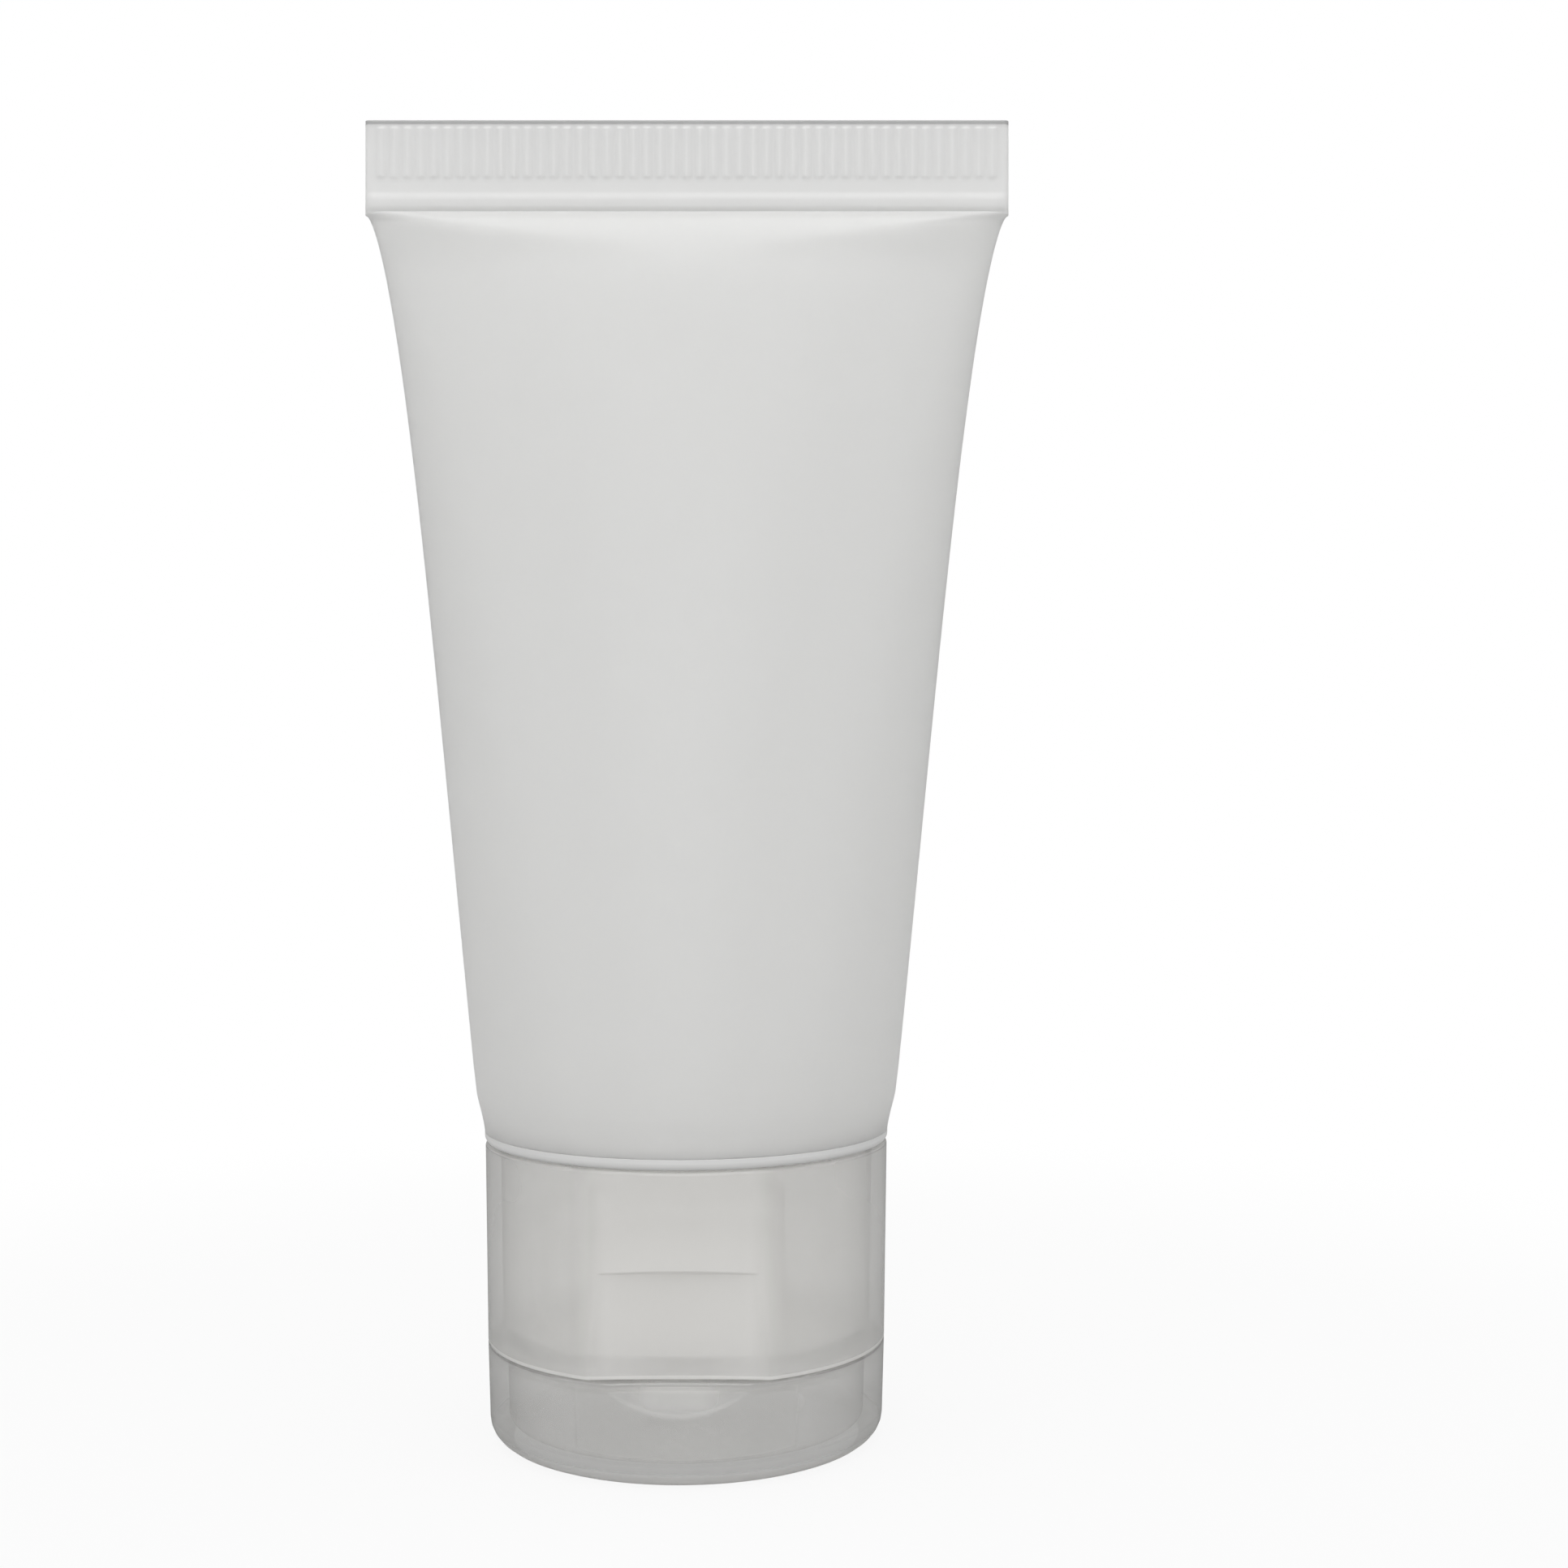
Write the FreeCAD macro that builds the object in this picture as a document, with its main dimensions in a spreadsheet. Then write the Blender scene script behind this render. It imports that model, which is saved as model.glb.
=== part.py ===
"""Travel squeeze tube, 30 ml: a soft round sleeve sealed flat at one end, a moulded head with a neck, and a
screw cap with a flip lid on a thin hinge. It stands on its lid, so the neck points down.

Lengths are in millimetres. The origin is at the centre of the lid's flat face, +Z runs up to the seal,
and -Y is the front, where the thumb notch is.
"""

import FreeCAD, Part
import math
import os

import Sketcher

SIZES = {
    # sleeve
    "tube_diameter": 30.0,  # of the round tube that the sleeve is made from
    "sleeve_wall": 0.5,
    "sleeve_length": 66.6,  # from the head to the seal
    "closing_power": 0.4,  # how late the sleeve's depth closes towards the seal
    "side_hollow": 0.1,  # how much less deep it is half-way than that power alone gives
    # seal
    "seal_height": 6.9,
    "seal_thickness": 0.9,
    "bead_height": 1.7,  # smooth bead along the foot of the seal
    "bead_thickness": 1.3,
    "rib_pitch": 0.97,
    "rib_width": 0.62,
    "rib_height": 0.16,  # how far a rib stands out of each face
    "rib_length": 3.9,
    "rib_margin": 0.45,  # from the ribs to the seal's top edge
    # head
    "head_inset": 0.35,  # of its edge and of the sleeve's end from the tube's round outside
    "head_flange": 0.8,
    "head_edge_chamfer": 0.45,
    "head_wall": 1.05,
    "head_seat_width": 1.45,  # flat ring that the cap's rim comes up to
    "head_cone_slope": 0.384,
    "head_plug_height": 1.2,  # skirt that goes up inside the sleeve
    "head_plug_wall": 0.8,
    "head_plug_clearance": 0.1,
    "neck_radius": 5.6,  # at the root of its thread
    "neck_bore_radius": 4.4,
    "neck_gap": 1.9,  # between its mouth and the cap's deck
    "neck_chamfer": 0.35,
    # cap
    "seat_gap": 0.1,
    "cap_height": 14.2,
    "cap_inset": 0.05,  # of its rim from the head's edge
    "cap_taper": 0.2,  # on its radius, from the rim to the parting line
    "cap_wall": 1.1,
    "cap_rim_chamfer": 0.2,
    "deck_thickness": 1.2,
    "socket_radius": 6.3,  # at the root of the cap's thread
    "socket_wall": 0.85,
    "socket_gap": 1.2,  # between its end and the head's cone
    "seal_ring_clearance": 0.1,
    "seal_ring_wall": 0.8,
    "seal_ring_reach": 1.2,  # how far it goes into the neck
    "spout_height": 1.8,
    "spout_tip_radius": 3.0,
    "spout_base_radius": 4.6,
    "orifice_radius": 1.7,
    "land_height": 1.2,  # ring on the deck that centres the lid
    "land_width": 0.8,
    "land_clearance": 0.4,
    # lid
    "parting_gap": 0.1,
    "lid_height": 7.0,
    "lid_taper": 0.2,  # on its radius, from the parting line to its face
    "lid_wall": 1.4,
    "lid_draft": 0.15,
    "lid_floor": 1.3,
    "lid_edge_radius": 1.7,
    "pin_base_radius": 2.2,
    "pin_tip_radius": 1.35,
    "pin_reach": 1.5,  # how far the pin goes into the orifice
    # thumb scoop: a hollow facet in the cap's front, and a notch below it in the lid's rim
    "scoop_depth": 1.7,  # at the parting line
    "scoop_height": 8.1,
    "scoop_top_depth": 1.15,  # at the foot of its sloping top edge
    "scoop_lip": 0.7,  # height of that edge
    "scoop_wall": 1.1,  # moulded behind it, inside the cap
    "notch_depth": 1.05,
    "notch_height": 2.1,
    "thumb_radius": 60.0,  # of the scoop and the notch, seen from above
    # hinge
    "hinge_flat_depth": 0.7,  # of the flats that the strap is moulded on to
    "hinge_flat_half_height": 3.0,
    "strap_width": 7.0,
    "strap_thickness": 0.3,
    "strap_half_height": 2.0,
    "strap_web": 0.16,  # at the fold
    "strap_fold_half_height": 0.35,
}

# Shares of the sleeve's length at which its section is set. They crowd where it closes.
SECTION_SHARES = (0.05, 0.15, 0.3, 0.45, 0.6, 0.73, 0.83, 0.9, 0.945, 0.972, 0.988, 0.997)
INNER_SEAL_THICKNESS = 0.1  # the two walls' gap where they meet at the seal
GIRTH_POWER = 1.7  # fits the girth of an ellipse to a quarter of a percent

doc = FreeCAD.newDocument("squeeze_tube")
sheet = doc.addObject("Spreadsheet::Sheet", "dims")
for row, (alias, value) in enumerate(SIZES.items(), start=1):
    sheet.set(f"A{row}", alias)
    sheet.set(f"B{row}", str(value))
    sheet.setAlias(f"B{row}", alias)
doc.recompute()


def dim(formula):
    """Turns {name} in a formula into a reference to the sheet's cell."""
    for alias in SIZES:
        formula = formula.replace("{" + alias + "}", f"<<dims>>.{alias}")
    return formula


# Heights above the lid's face
PARTING = "({lid_height} + {parting_gap})"
DECK_TOP = f"({PARTING} + {{deck_thickness}})"
CAP_TOP = f"({PARTING} + {{cap_height}})"
SEAT = f"({CAP_TOP} + {{seat_gap}})"
NECK_MOUTH = f"({DECK_TOP} + {{neck_gap}})"
SLEEVE_FOOT = f"({SEAT} + {{head_flange}})"
SEAL_FOOT = f"({SLEEVE_FOOT} + {{sleeve_length}})"
SPOUT_TIP = f"({PARTING} - {{spout_height}})"

# Radii
TUBE = "({tube_diameter} / 2)"
HEAD = f"({TUBE} - {{head_inset}})"
SEAT_INNER = f"({HEAD} - {{head_seat_width}})"
CAP_RIM = f"({HEAD} - {{cap_inset}})"
CAP_BOTTOM = f"({CAP_RIM} - {{cap_taper}})"
CAP_INSIDE = f"({CAP_BOTTOM} - {{cap_wall}})"
LID_INSIDE = f"({CAP_BOTTOM} - {{lid_wall}})"
LID_FACE = f"({CAP_BOTTOM} - {{lid_taper}})"
HINGE_FLAT = f"({CAP_BOTTOM} - {{hinge_flat_depth}})"
SEAL_WIDTH = f"(pi * {TUBE})"


def cone_height(radius):
    """Height of the head's cone, on its lower face, at a radius."""
    return f"({SEAT} - ({SEAT_INNER} - {radius}) * {{head_cone_slope}})"


def plane_of(body, role):
    """One of a body's own origin planes."""
    return next(f for f in body.Origin.OriginFeatures if f.Role == role)


def new_body(label):
    body = doc.addObject("PartDesign::Body", label)
    body.Label = label
    return body


def new_sketch(body, name, role):
    sketch = body.newObject("Sketcher::SketchObject", name)
    sketch.AttachmentSupport = (plane_of(body, role), "")
    sketch.MapMode = "FlatFace"
    return sketch


def outline(sketch, corners):
    """Draws a closed outline whose corners are set by two formulas each, across and up from the origin.
    A formula of "0" puts the corner on the axis."""
    guesses = [(doc_value(across), doc_value(up)) for across, up in corners]
    count = len(corners)
    for n in range(count):
        start = FreeCAD.Vector(*guesses[n], 0)
        end = FreeCAD.Vector(*guesses[(n + 1) % count], 0)
        sketch.addGeometry(Part.LineSegment(start, end), False)
    for n in range(count):
        sketch.addConstraint(Sketcher.Constraint("Coincident", n, 2, (n + 1) % count, 1))
    for n, (across, up) in enumerate(corners):
        for kind, axis, formula, guess in (
            ("DistanceX", -2, across, guesses[n][0]),
            ("DistanceY", -1, up, guesses[n][1]),
        ):
            if formula == "0":
                sketch.addConstraint(Sketcher.Constraint("PointOnObject", n, 1, axis))
                continue
            index = sketch.addConstraint(Sketcher.Constraint(kind, -1, 1, n, 1, guess))
            name = f"corner_{n}_{'across' if axis == -2 else 'up'}"
            sketch.renameConstraint(index, name)
            sketch.setExpression(f"Constraints.{name}", dim(formula))


def doc_value(formula):
    """What a formula is worth now, as a first place for a sketch's corner."""
    return float(sheet.evalExpression(dim(formula)))


def revolved(label, corners):
    """A body turned about the tube's axis from an outline of (radius, height) formulas."""
    body = new_body(label)
    sketch = new_sketch(body, f"{label}_profile", "XZ_Plane")
    outline(sketch, corners)
    turn = body.newObject("PartDesign::Revolution", f"{label}_turned")
    turn.Profile = sketch
    turn.ReferenceAxis = (sketch, ["V_Axis"])
    turn.Angle = 360
    doc.recompute()
    return body


def ring_edge(shape, radius, height):
    """The name of the round edge of a turned body at that radius and height."""
    for n, edge in enumerate(shape.Edges, start=1):
        curve = edge.Curve
        if isinstance(curve, Part.Circle) and abs(curve.Radius - radius) < 1e-3:
            if abs(curve.Center.z - height) < 1e-3 and abs(curve.Axis.z) > 0.99:
                return f"Edge{n}"
    raise ValueError(f"no round edge of radius {radius} at height {height}")


def dress(body, kind, name, radius_formula, height_formula, size_formula):
    """Adds a Fillet or a Chamfer to one round edge of a turned body."""
    edge = ring_edge(body.Shape, doc_value(radius_formula), doc_value(height_formula))
    feature = body.newObject(f"PartDesign::{kind}", name)
    feature.Base = (body.Tip if body.Tip is not feature else feature.BaseFeature, [edge])
    feature.setExpression("Radius" if kind == "Fillet" else "Size", dim(size_formula))
    doc.recompute()


def cut_thumb_hollow(body, name, deepest, corners):
    """Cuts the front with an outline of (distance in front of the tube's axis, height) formulas, swept
    about an upright axis in front of the cap, so that the hollow is a little dished seen from above."""
    sketch = new_sketch(body, f"{name}_profile", "YZ_Plane")
    outline(sketch, [(f"(0 - {ahead})", up) for ahead, up in corners])
    axis_place = f"(0 - ({deepest} + {{thumb_radius}}))"
    place = doc_value(axis_place)
    height = doc_value(PARTING)
    line = sketch.addGeometry(
        Part.LineSegment(FreeCAD.Vector(place, 0, 0), FreeCAD.Vector(place, height, 0)), True
    )
    sketch.addConstraint(Sketcher.Constraint("Vertical", line))
    sketch.addConstraint(Sketcher.Constraint("PointOnObject", line, 1, -1))
    sketch.addConstraint(Sketcher.Constraint("DistanceY", line, 1, line, 2, height))
    index = sketch.addConstraint(Sketcher.Constraint("DistanceX", -1, 1, line, 1, place))
    sketch.renameConstraint(index, "axis_place")
    sketch.setExpression("Constraints.axis_place", dim(axis_place))
    groove = body.newObject("PartDesign::Groove", name)
    groove.Profile = sketch
    groove.ReferenceAxis = (sketch, ["Axis0"])
    groove.Angle = 360
    doc.recompute()


def cut_hinge_flat(body):
    """The flat at the back, either side of the parting line, that the hinge strap is moulded on to."""
    far = f"({CAP_BOTTOM} + {{cap_wall}})"
    sketch = new_sketch(body, f"{body.Label}_hinge_flat_profile", "YZ_Plane")
    low = f"({PARTING} - {{hinge_flat_half_height}})"
    high = f"({PARTING} + {{hinge_flat_half_height}})"
    corners = [(HINGE_FLAT, low), (far, low), (far, high), (HINGE_FLAT, high)]
    outline(sketch, corners)
    pocket = body.newObject("PartDesign::Pocket", f"{body.Label}_hinge_flat")
    pocket.Profile = sketch
    pocket.Midplane = True
    pocket.setExpression("Length", dim(f"{CAP_BOTTOM} * 2"))
    doc.recompute()


def make_head():
    """Shoulder and neck in one moulding. The sleeve's end stands on its flange, round a short plug."""
    plug = f"({HEAD} - {{sleeve_wall}} - {{head_plug_clearance}})"
    plug_inner = f"({plug} - {{head_plug_wall}})"
    plug_top = f"({SLEEVE_FOOT} + {{head_plug_height}})"
    funnel_top = f"({SEAT} + {{head_wall}})"
    funnel_foot = f"({funnel_top} - ({plug_inner} - {{neck_bore_radius}}) * {{head_cone_slope}})"
    body = revolved(
        "tube_head",
        [
            ("{neck_bore_radius}", NECK_MOUTH),
            ("{neck_radius}", NECK_MOUTH),
            ("{neck_radius}", cone_height("{neck_radius}")),
            (SEAT_INNER, SEAT),
            (HEAD, SEAT),
            (HEAD, SLEEVE_FOOT),
            (plug, SLEEVE_FOOT),
            (plug, plug_top),
            (plug_inner, plug_top),
            (plug_inner, funnel_top),
            ("{neck_bore_radius}", funnel_foot),
        ],
    )
    dress(body, "Chamfer", "head_edge", HEAD, SEAT, "{head_edge_chamfer}")
    dress(body, "Chamfer", "neck_lead_in", "{neck_radius}", NECK_MOUTH, "{neck_chamfer}")
    return body


def add_scoop_backing(body, chord):
    """Thickens the cap's front wall inwards to a flat face, so that the scoop leaves a wall behind it."""
    sketch = new_sketch(body, "scoop_backing_profile", "XY_Plane")
    sketch.setExpression("AttachmentOffset.Base.z", dim(PARTING))
    arc_radius = f"({CAP_INSIDE} + {{cap_wall}} / 2)"
    radius, place = doc_value(arc_radius), -doc_value(chord)
    left = math.atan2(place, -math.sqrt(radius**2 - place**2))
    right = -math.pi - left
    circle = Part.Circle(FreeCAD.Vector(), FreeCAD.Vector(0, 0, 1), radius)
    arc = sketch.addGeometry(Part.ArcOfCircle(circle, left, right), False)
    ends = [sketch.getPoint(arc, 2), sketch.getPoint(arc, 1)]
    line = sketch.addGeometry(Part.LineSegment(*ends), False)
    sketch.addConstraint(Sketcher.Constraint("Coincident", arc, 3, -1, 1))
    sketch.addConstraint(Sketcher.Constraint("Coincident", arc, 2, line, 1))
    sketch.addConstraint(Sketcher.Constraint("Coincident", line, 2, arc, 1))
    sketch.addConstraint(Sketcher.Constraint("Horizontal", line))
    for name, constraint, formula in (
        ("arc_radius", Sketcher.Constraint("Radius", arc, radius), arc_radius),
        ("chord", Sketcher.Constraint("DistanceY", -1, 1, line, 1, place), f"(0 - {chord})"),
    ):
        sketch.renameConstraint(sketch.addConstraint(constraint), name)
        sketch.setExpression(f"Constraints.{name}", dim(formula))
    pad = body.newObject("PartDesign::Pad", "scoop_backing")
    pad.Profile = sketch
    pad.setExpression("Length", dim("{scoop_height} + {scoop_wall}"))
    doc.recompute()


def make_cap():
    """Screw cap: outer wall, deck, threaded socket for the neck, seal ring, spout and lid land."""
    socket_outer = "({socket_radius} + {socket_wall})"
    socket_top = f"({cone_height(socket_outer)} - {{socket_gap}})"
    ring = "({neck_bore_radius} - {seal_ring_clearance})"
    ring_inner = f"({ring} - {{seal_ring_wall}})"
    ring_top = f"({NECK_MOUTH} + {{seal_ring_reach}})"
    land = f"({LID_INSIDE} - {{land_clearance}})"
    land_inner = f"({land} - {{land_width}})"
    land_tip = f"({PARTING} - {{land_height}})"
    body = revolved(
        "screw_cap",
        [
            ("{orifice_radius}", SPOUT_TIP),
            ("{spout_tip_radius}", SPOUT_TIP),
            ("{spout_base_radius}", PARTING),
            (land_inner, PARTING),
            (land_inner, land_tip),
            (land, land_tip),
            (land, PARTING),
            (CAP_BOTTOM, PARTING),
            (CAP_RIM, CAP_TOP),
            (f"({CAP_RIM} - {{cap_wall}})", CAP_TOP),
            (CAP_INSIDE, DECK_TOP),
            (socket_outer, DECK_TOP),
            (socket_outer, socket_top),
            ("{socket_radius}", socket_top),
            ("{socket_radius}", DECK_TOP),
            (ring, DECK_TOP),
            (ring, ring_top),
            (ring_inner, ring_top),
            (ring_inner, DECK_TOP),
            ("{orifice_radius}", DECK_TOP),
        ],
    )
    dress(body, "Chamfer", "cap_rim", CAP_RIM, CAP_TOP, "{cap_rim_chamfer}")

    low_floor = f"({CAP_BOTTOM} - {{scoop_depth}})"
    high_floor = f"({CAP_BOTTOM} - {{scoop_top_depth}})"
    lip_foot = f"({PARTING} + {{scoop_height}} - {{scoop_lip}})"
    outside = f"({CAP_BOTTOM} + {{scoop_top_depth}})"
    add_scoop_backing(body, f"({low_floor} - {{scoop_wall}})")
    cut_thumb_hollow(
        body,
        "thumb_scoop",
        low_floor,
        [
            (outside, PARTING),
            (low_floor, PARTING),
            (high_floor, lip_foot),
            (outside, f"({lip_foot} + {{scoop_lip}} * 2)"),
        ],
    )
    cut_hinge_flat(body)
    return body


def make_lid():
    """Flip lid: a shallow cup with the pin that closes the spout."""
    pin_tip = f"({SPOUT_TIP} + {{pin_reach}})"
    body = revolved(
        "flip_lid",
        [
            ("0", "0"),
            (LID_FACE, "0"),
            (CAP_BOTTOM, "{lid_height}"),
            (LID_INSIDE, "{lid_height}"),
            (f"({LID_INSIDE} - {{lid_draft}})", "{lid_floor}"),
            ("{pin_base_radius}", "{lid_floor}"),
            ("{pin_tip_radius}", pin_tip),
            ("0", pin_tip),
        ],
    )
    dress(body, "Fillet", "lid_edge", LID_FACE, "0", "{lid_edge_radius}")
    notch_floor = f"({CAP_BOTTOM} - {{notch_depth}})"
    outside = f"({CAP_BOTTOM} + {{notch_depth}})"
    foot = "({lid_height} - {notch_height})"
    cut_thumb_hollow(
        body,
        "thumb_notch",
        notch_floor,
        [
            (outside, PARTING),
            (notch_floor, PARTING),
            (notch_floor, "({lid_height} - {notch_height} / 4)"),
            (outside, f"({foot} - {{notch_height}} * 3 / 4)"),
        ],
    )
    cut_hinge_flat(body)
    return body


def make_strap():
    """Hinge strap: a thin moulded film on the two flats, thinner at the fold."""
    body = new_body("hinge_strap")
    sketch = new_sketch(body, "strap_profile", "YZ_Plane")
    fold = "({lid_height} + {parting_gap} / 2)"
    outside = f"({HINGE_FLAT} + {{strap_thickness}})"
    low = f"({fold} - {{strap_half_height}})"
    high = f"({fold} + {{strap_half_height}})"
    outline(
        sketch,
        [
            (HINGE_FLAT, low),
            (outside, low),
            (outside, f"({fold} - {{strap_fold_half_height}})"),
            (f"({HINGE_FLAT} + {{strap_web}})", fold),
            (outside, f"({fold} + {{strap_fold_half_height}})"),
            (outside, high),
            (HINGE_FLAT, high),
        ],
    )
    pad = body.newObject("PartDesign::Pad", "strap_pad")
    pad.Profile = sketch
    pad.Midplane = True
    pad.setExpression("Length", dim("{strap_width}"))
    doc.recompute()
    return body


def half_depth(radius, seal_half, share):
    """Half the sleeve's depth, front to back, at a share of its length. It falls slowly from the head
    and shuts at the seal, as the depth of a filled pouch does."""
    closing = f"(1 - {share})^{{closing_power}} * (1 - {{side_hollow}} * {share} * (1 - {share}))"
    return f"({seal_half} + ({radius} - {seal_half}) * {closing})"


def half_width(radius, depth):
    """Half the width that keeps an ellipse's girth equal to the round tube's."""
    return f"({radius} * (pi / 2 - (pi / 2 - 1) * ({depth} / {radius})^{GIRTH_POWER}))"


def sleeve_skin(name, radius, head_radius, length, seal_half, ruled):
    """A solid from the round end to the flat end, through ellipses of one girth."""
    sections = []
    shares = ["0", *map(str, SECTION_SHARES), "1"]
    for n, share in enumerate(shares):
        section = doc.addObject("Part::Ellipse", f"{name}_section_{n}")
        depth = head_radius if n == 0 else half_depth(radius, seal_half, share)
        width = head_radius if n == 0 else half_width(radius, depth)
        section.setExpression("MajorRadius", dim(width))
        section.setExpression("MinorRadius", dim(depth))
        section.setExpression("Placement.Base.z", dim(f"{SLEEVE_FOOT} + {length} * {share}"))
        sections.append(section)
    doc.recompute()
    skin = doc.addObject("Part::Loft", name)
    skin.Sections = sections
    skin.Solid = True
    skin.Ruled = ruled
    doc.recompute()
    return skin


def make_seal():
    """The flat sealed band: a smooth bead along its foot, and upright ribs pressed into both faces."""
    body = new_body("seal_band")
    profile = new_sketch(body, "seal_profile", "YZ_Plane")
    half = "({seal_thickness} / 2)"
    bead = "({bead_thickness} / 2)"
    top = f"({SEAL_FOOT} + {{seal_height}})"
    foot = f"({SEAL_FOOT} - {{bead_height}} * 0.12)"
    levels = [
        (half, top),
        (half, f"({SEAL_FOOT} + {{bead_height}})"),
        (bead, f"({SEAL_FOOT} + {{bead_height}} * 0.68)"),
        (bead, f"({SEAL_FOOT} + {{bead_height}} * 0.3)"),
        (half, foot),
    ]
    corners = [*levels, *[(f"(0 - {across})", up) for across, up in reversed(levels)]]
    outline(profile, corners)
    band = body.newObject("PartDesign::Pad", "seal_pad")
    band.Profile = profile
    band.Midplane = True
    band.setExpression("Length", dim(SEAL_WIDTH))
    doc.recompute()

    # The first rib goes through the band, so that one prism makes the ridge on both faces.
    count = f"floor(({SEAL_WIDTH} - {{rib_pitch}}) / {{rib_pitch}})"
    first = f"(0 - {{rib_pitch}} * ({count} - 1) / 2)"
    rib = new_sketch(body, "rib_profile", "XY_Plane")
    rib.setExpression(
        "AttachmentOffset.Base.z", dim(f"{top} - {{rib_margin}} - {{rib_length}}")
    )
    ridge = f"({half} + {{rib_height}})"
    side = "({rib_width} / 2)"
    crest = "({rib_width} / 6)"
    half_outline = [(-1, side, half), (-1, crest, ridge), (1, crest, ridge), (1, side, half)]
    front = [(f"({first} + {sign} * {x})", f"(0 - {y})") for sign, x, y in half_outline]
    back = [(f"({first} + {sign} * {x})", y) for sign, x, y in reversed(half_outline)]
    outline(rib, [*front, *back])
    rib_pad = body.newObject("PartDesign::Pad", "rib_pad")
    rib_pad.Profile = rib
    rib_pad.setExpression("Length", dim("{rib_length}"))
    doc.recompute()
    ribs = body.newObject("PartDesign::LinearPattern", "ribs")
    ribs.Originals = [rib_pad]
    ribs.Direction = (rib, ["H_Axis"])
    ribs.setExpression("Length", dim(f"{{rib_pitch}} * ({count} - 1)"))
    ribs.setExpression("Occurrences", dim(count))
    body.Tip = ribs
    doc.recompute()
    return body


def make_sleeve():
    """Soft sleeve: a round tube pressed flat and sealed at its far end, all one girth, and hollow."""
    seal_half = "({seal_thickness} / 2 + 0.1)"
    outside = sleeve_skin("sleeve_outside", TUBE, HEAD, "{sleeve_length}", seal_half, False)
    inside = sleeve_skin(
        "sleeve_inside",
        f"({TUBE} - {{sleeve_wall}})",
        f"({HEAD} - {{sleeve_wall}})",
        "({sleeve_length} - {sleeve_wall})",
        f"({INNER_SEAL_THICKNESS} / 2)",
        True,
    )
    seal = make_seal()
    joined = doc.addObject("Part::Fuse", "sealed_sleeve")
    joined.Base, joined.Tool = outside, seal
    sleeve = doc.addObject("Part::Cut", "tube_sleeve")
    sleeve.Label = "tube_sleeve"
    sleeve.Base, sleeve.Tool = joined, inside
    doc.recompute()
    return sleeve


parts = [make_sleeve(), make_head(), make_cap(), make_strap(), make_lid()]
doc.recompute()

for thing in doc.Objects:
    if "Invalid" in thing.State or "Error" in thing.State:
        raise RuntimeError(f"{thing.Name} did not build: {thing.State}")
for piece in parts:
    if piece.Shape.isNull() or not piece.Shape.isValid() or not piece.Shape.Solids:
        raise RuntimeError(f"{piece.Label} is not a valid solid")

os.makedirs("parts", exist_ok=True)
for piece in parts:
    piece.Shape.exportStep(f"parts/{piece.Label}.step")
    box = piece.Shape.optimalBoundingBox(True, False)
    size = f"{box.XLength:.2f} x {box.YLength:.2f} x {box.ZLength:.2f} mm"
    print(f"{piece.Label}: {size}, from {box.ZMin:.2f} up, {piece.Shape.Volume:.1f} mm3")
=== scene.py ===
"""Travel squeeze tube: a frosted soft sleeve sealed flat, its moulded head, and a hazy clear screw cap with
a flip lid on a thin hinge. The sleeve, head, cap, strap and lid are made here as smooth surfaces with the
fine forms of the real ones: the threads, the rounded edges, the pressed ribs and the thumb scoop.

Lengths are in metres. +Z runs up the tube, -Y is the front, and the lid stands on Z = 0.
"""

import math

import bpy
import numpy as np
from bpy.props import FloatProperty, FloatVectorProperty, IntProperty, PointerProperty
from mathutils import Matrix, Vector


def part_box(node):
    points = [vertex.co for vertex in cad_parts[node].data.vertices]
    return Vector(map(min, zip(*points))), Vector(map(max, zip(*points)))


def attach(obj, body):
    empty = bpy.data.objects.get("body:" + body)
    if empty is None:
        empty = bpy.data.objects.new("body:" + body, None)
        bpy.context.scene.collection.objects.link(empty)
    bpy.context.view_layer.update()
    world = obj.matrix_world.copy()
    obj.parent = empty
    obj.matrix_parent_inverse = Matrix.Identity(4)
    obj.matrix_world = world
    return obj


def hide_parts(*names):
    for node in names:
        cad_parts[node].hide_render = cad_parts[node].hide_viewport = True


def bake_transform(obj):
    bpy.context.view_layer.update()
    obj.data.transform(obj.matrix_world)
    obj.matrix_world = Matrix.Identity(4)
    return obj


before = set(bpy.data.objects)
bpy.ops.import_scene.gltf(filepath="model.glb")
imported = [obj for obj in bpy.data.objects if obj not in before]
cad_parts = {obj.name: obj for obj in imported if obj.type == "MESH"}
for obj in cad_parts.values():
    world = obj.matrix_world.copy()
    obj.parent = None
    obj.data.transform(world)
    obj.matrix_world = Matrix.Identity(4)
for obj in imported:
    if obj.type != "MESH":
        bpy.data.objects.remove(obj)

bl_info = {
    "name": "Travel squeeze tube",
    "version": (1, 0, 0),
    "blender": (4, 5, 0),
    "location": "3D view > Sidebar > Squeeze tube",
    "description": "Builds a soft travel tube with a flip-top screw cap, and its studio",
    "category": "Object",
}

MM = 0.001
FRONT = math.radians(-90)
BACK = math.radians(90)
ARC_STEP = 16  # degrees from point to point of a rounded corner
HOLD = 0.04 * MM  # how close to a corner the next points lie
SAME = 0.0001 * MM  # what is nearer than this is taken as the same place
FAR_AWAY = 1.0  # a radius that no part of the tube comes near
WHITE = (1.0, 1.0, 1.0, 1.0)

SLEEVE_LOW, SLEEVE_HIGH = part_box("tube_sleeve")
HEAD_LOW, HEAD_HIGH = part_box("tube_head")
CAP_LOW, CAP_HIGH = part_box("screw_cap")
STRAP_LOW, STRAP_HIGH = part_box("hinge_strap")
LID_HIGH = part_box("flip_lid")[1]

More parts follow.
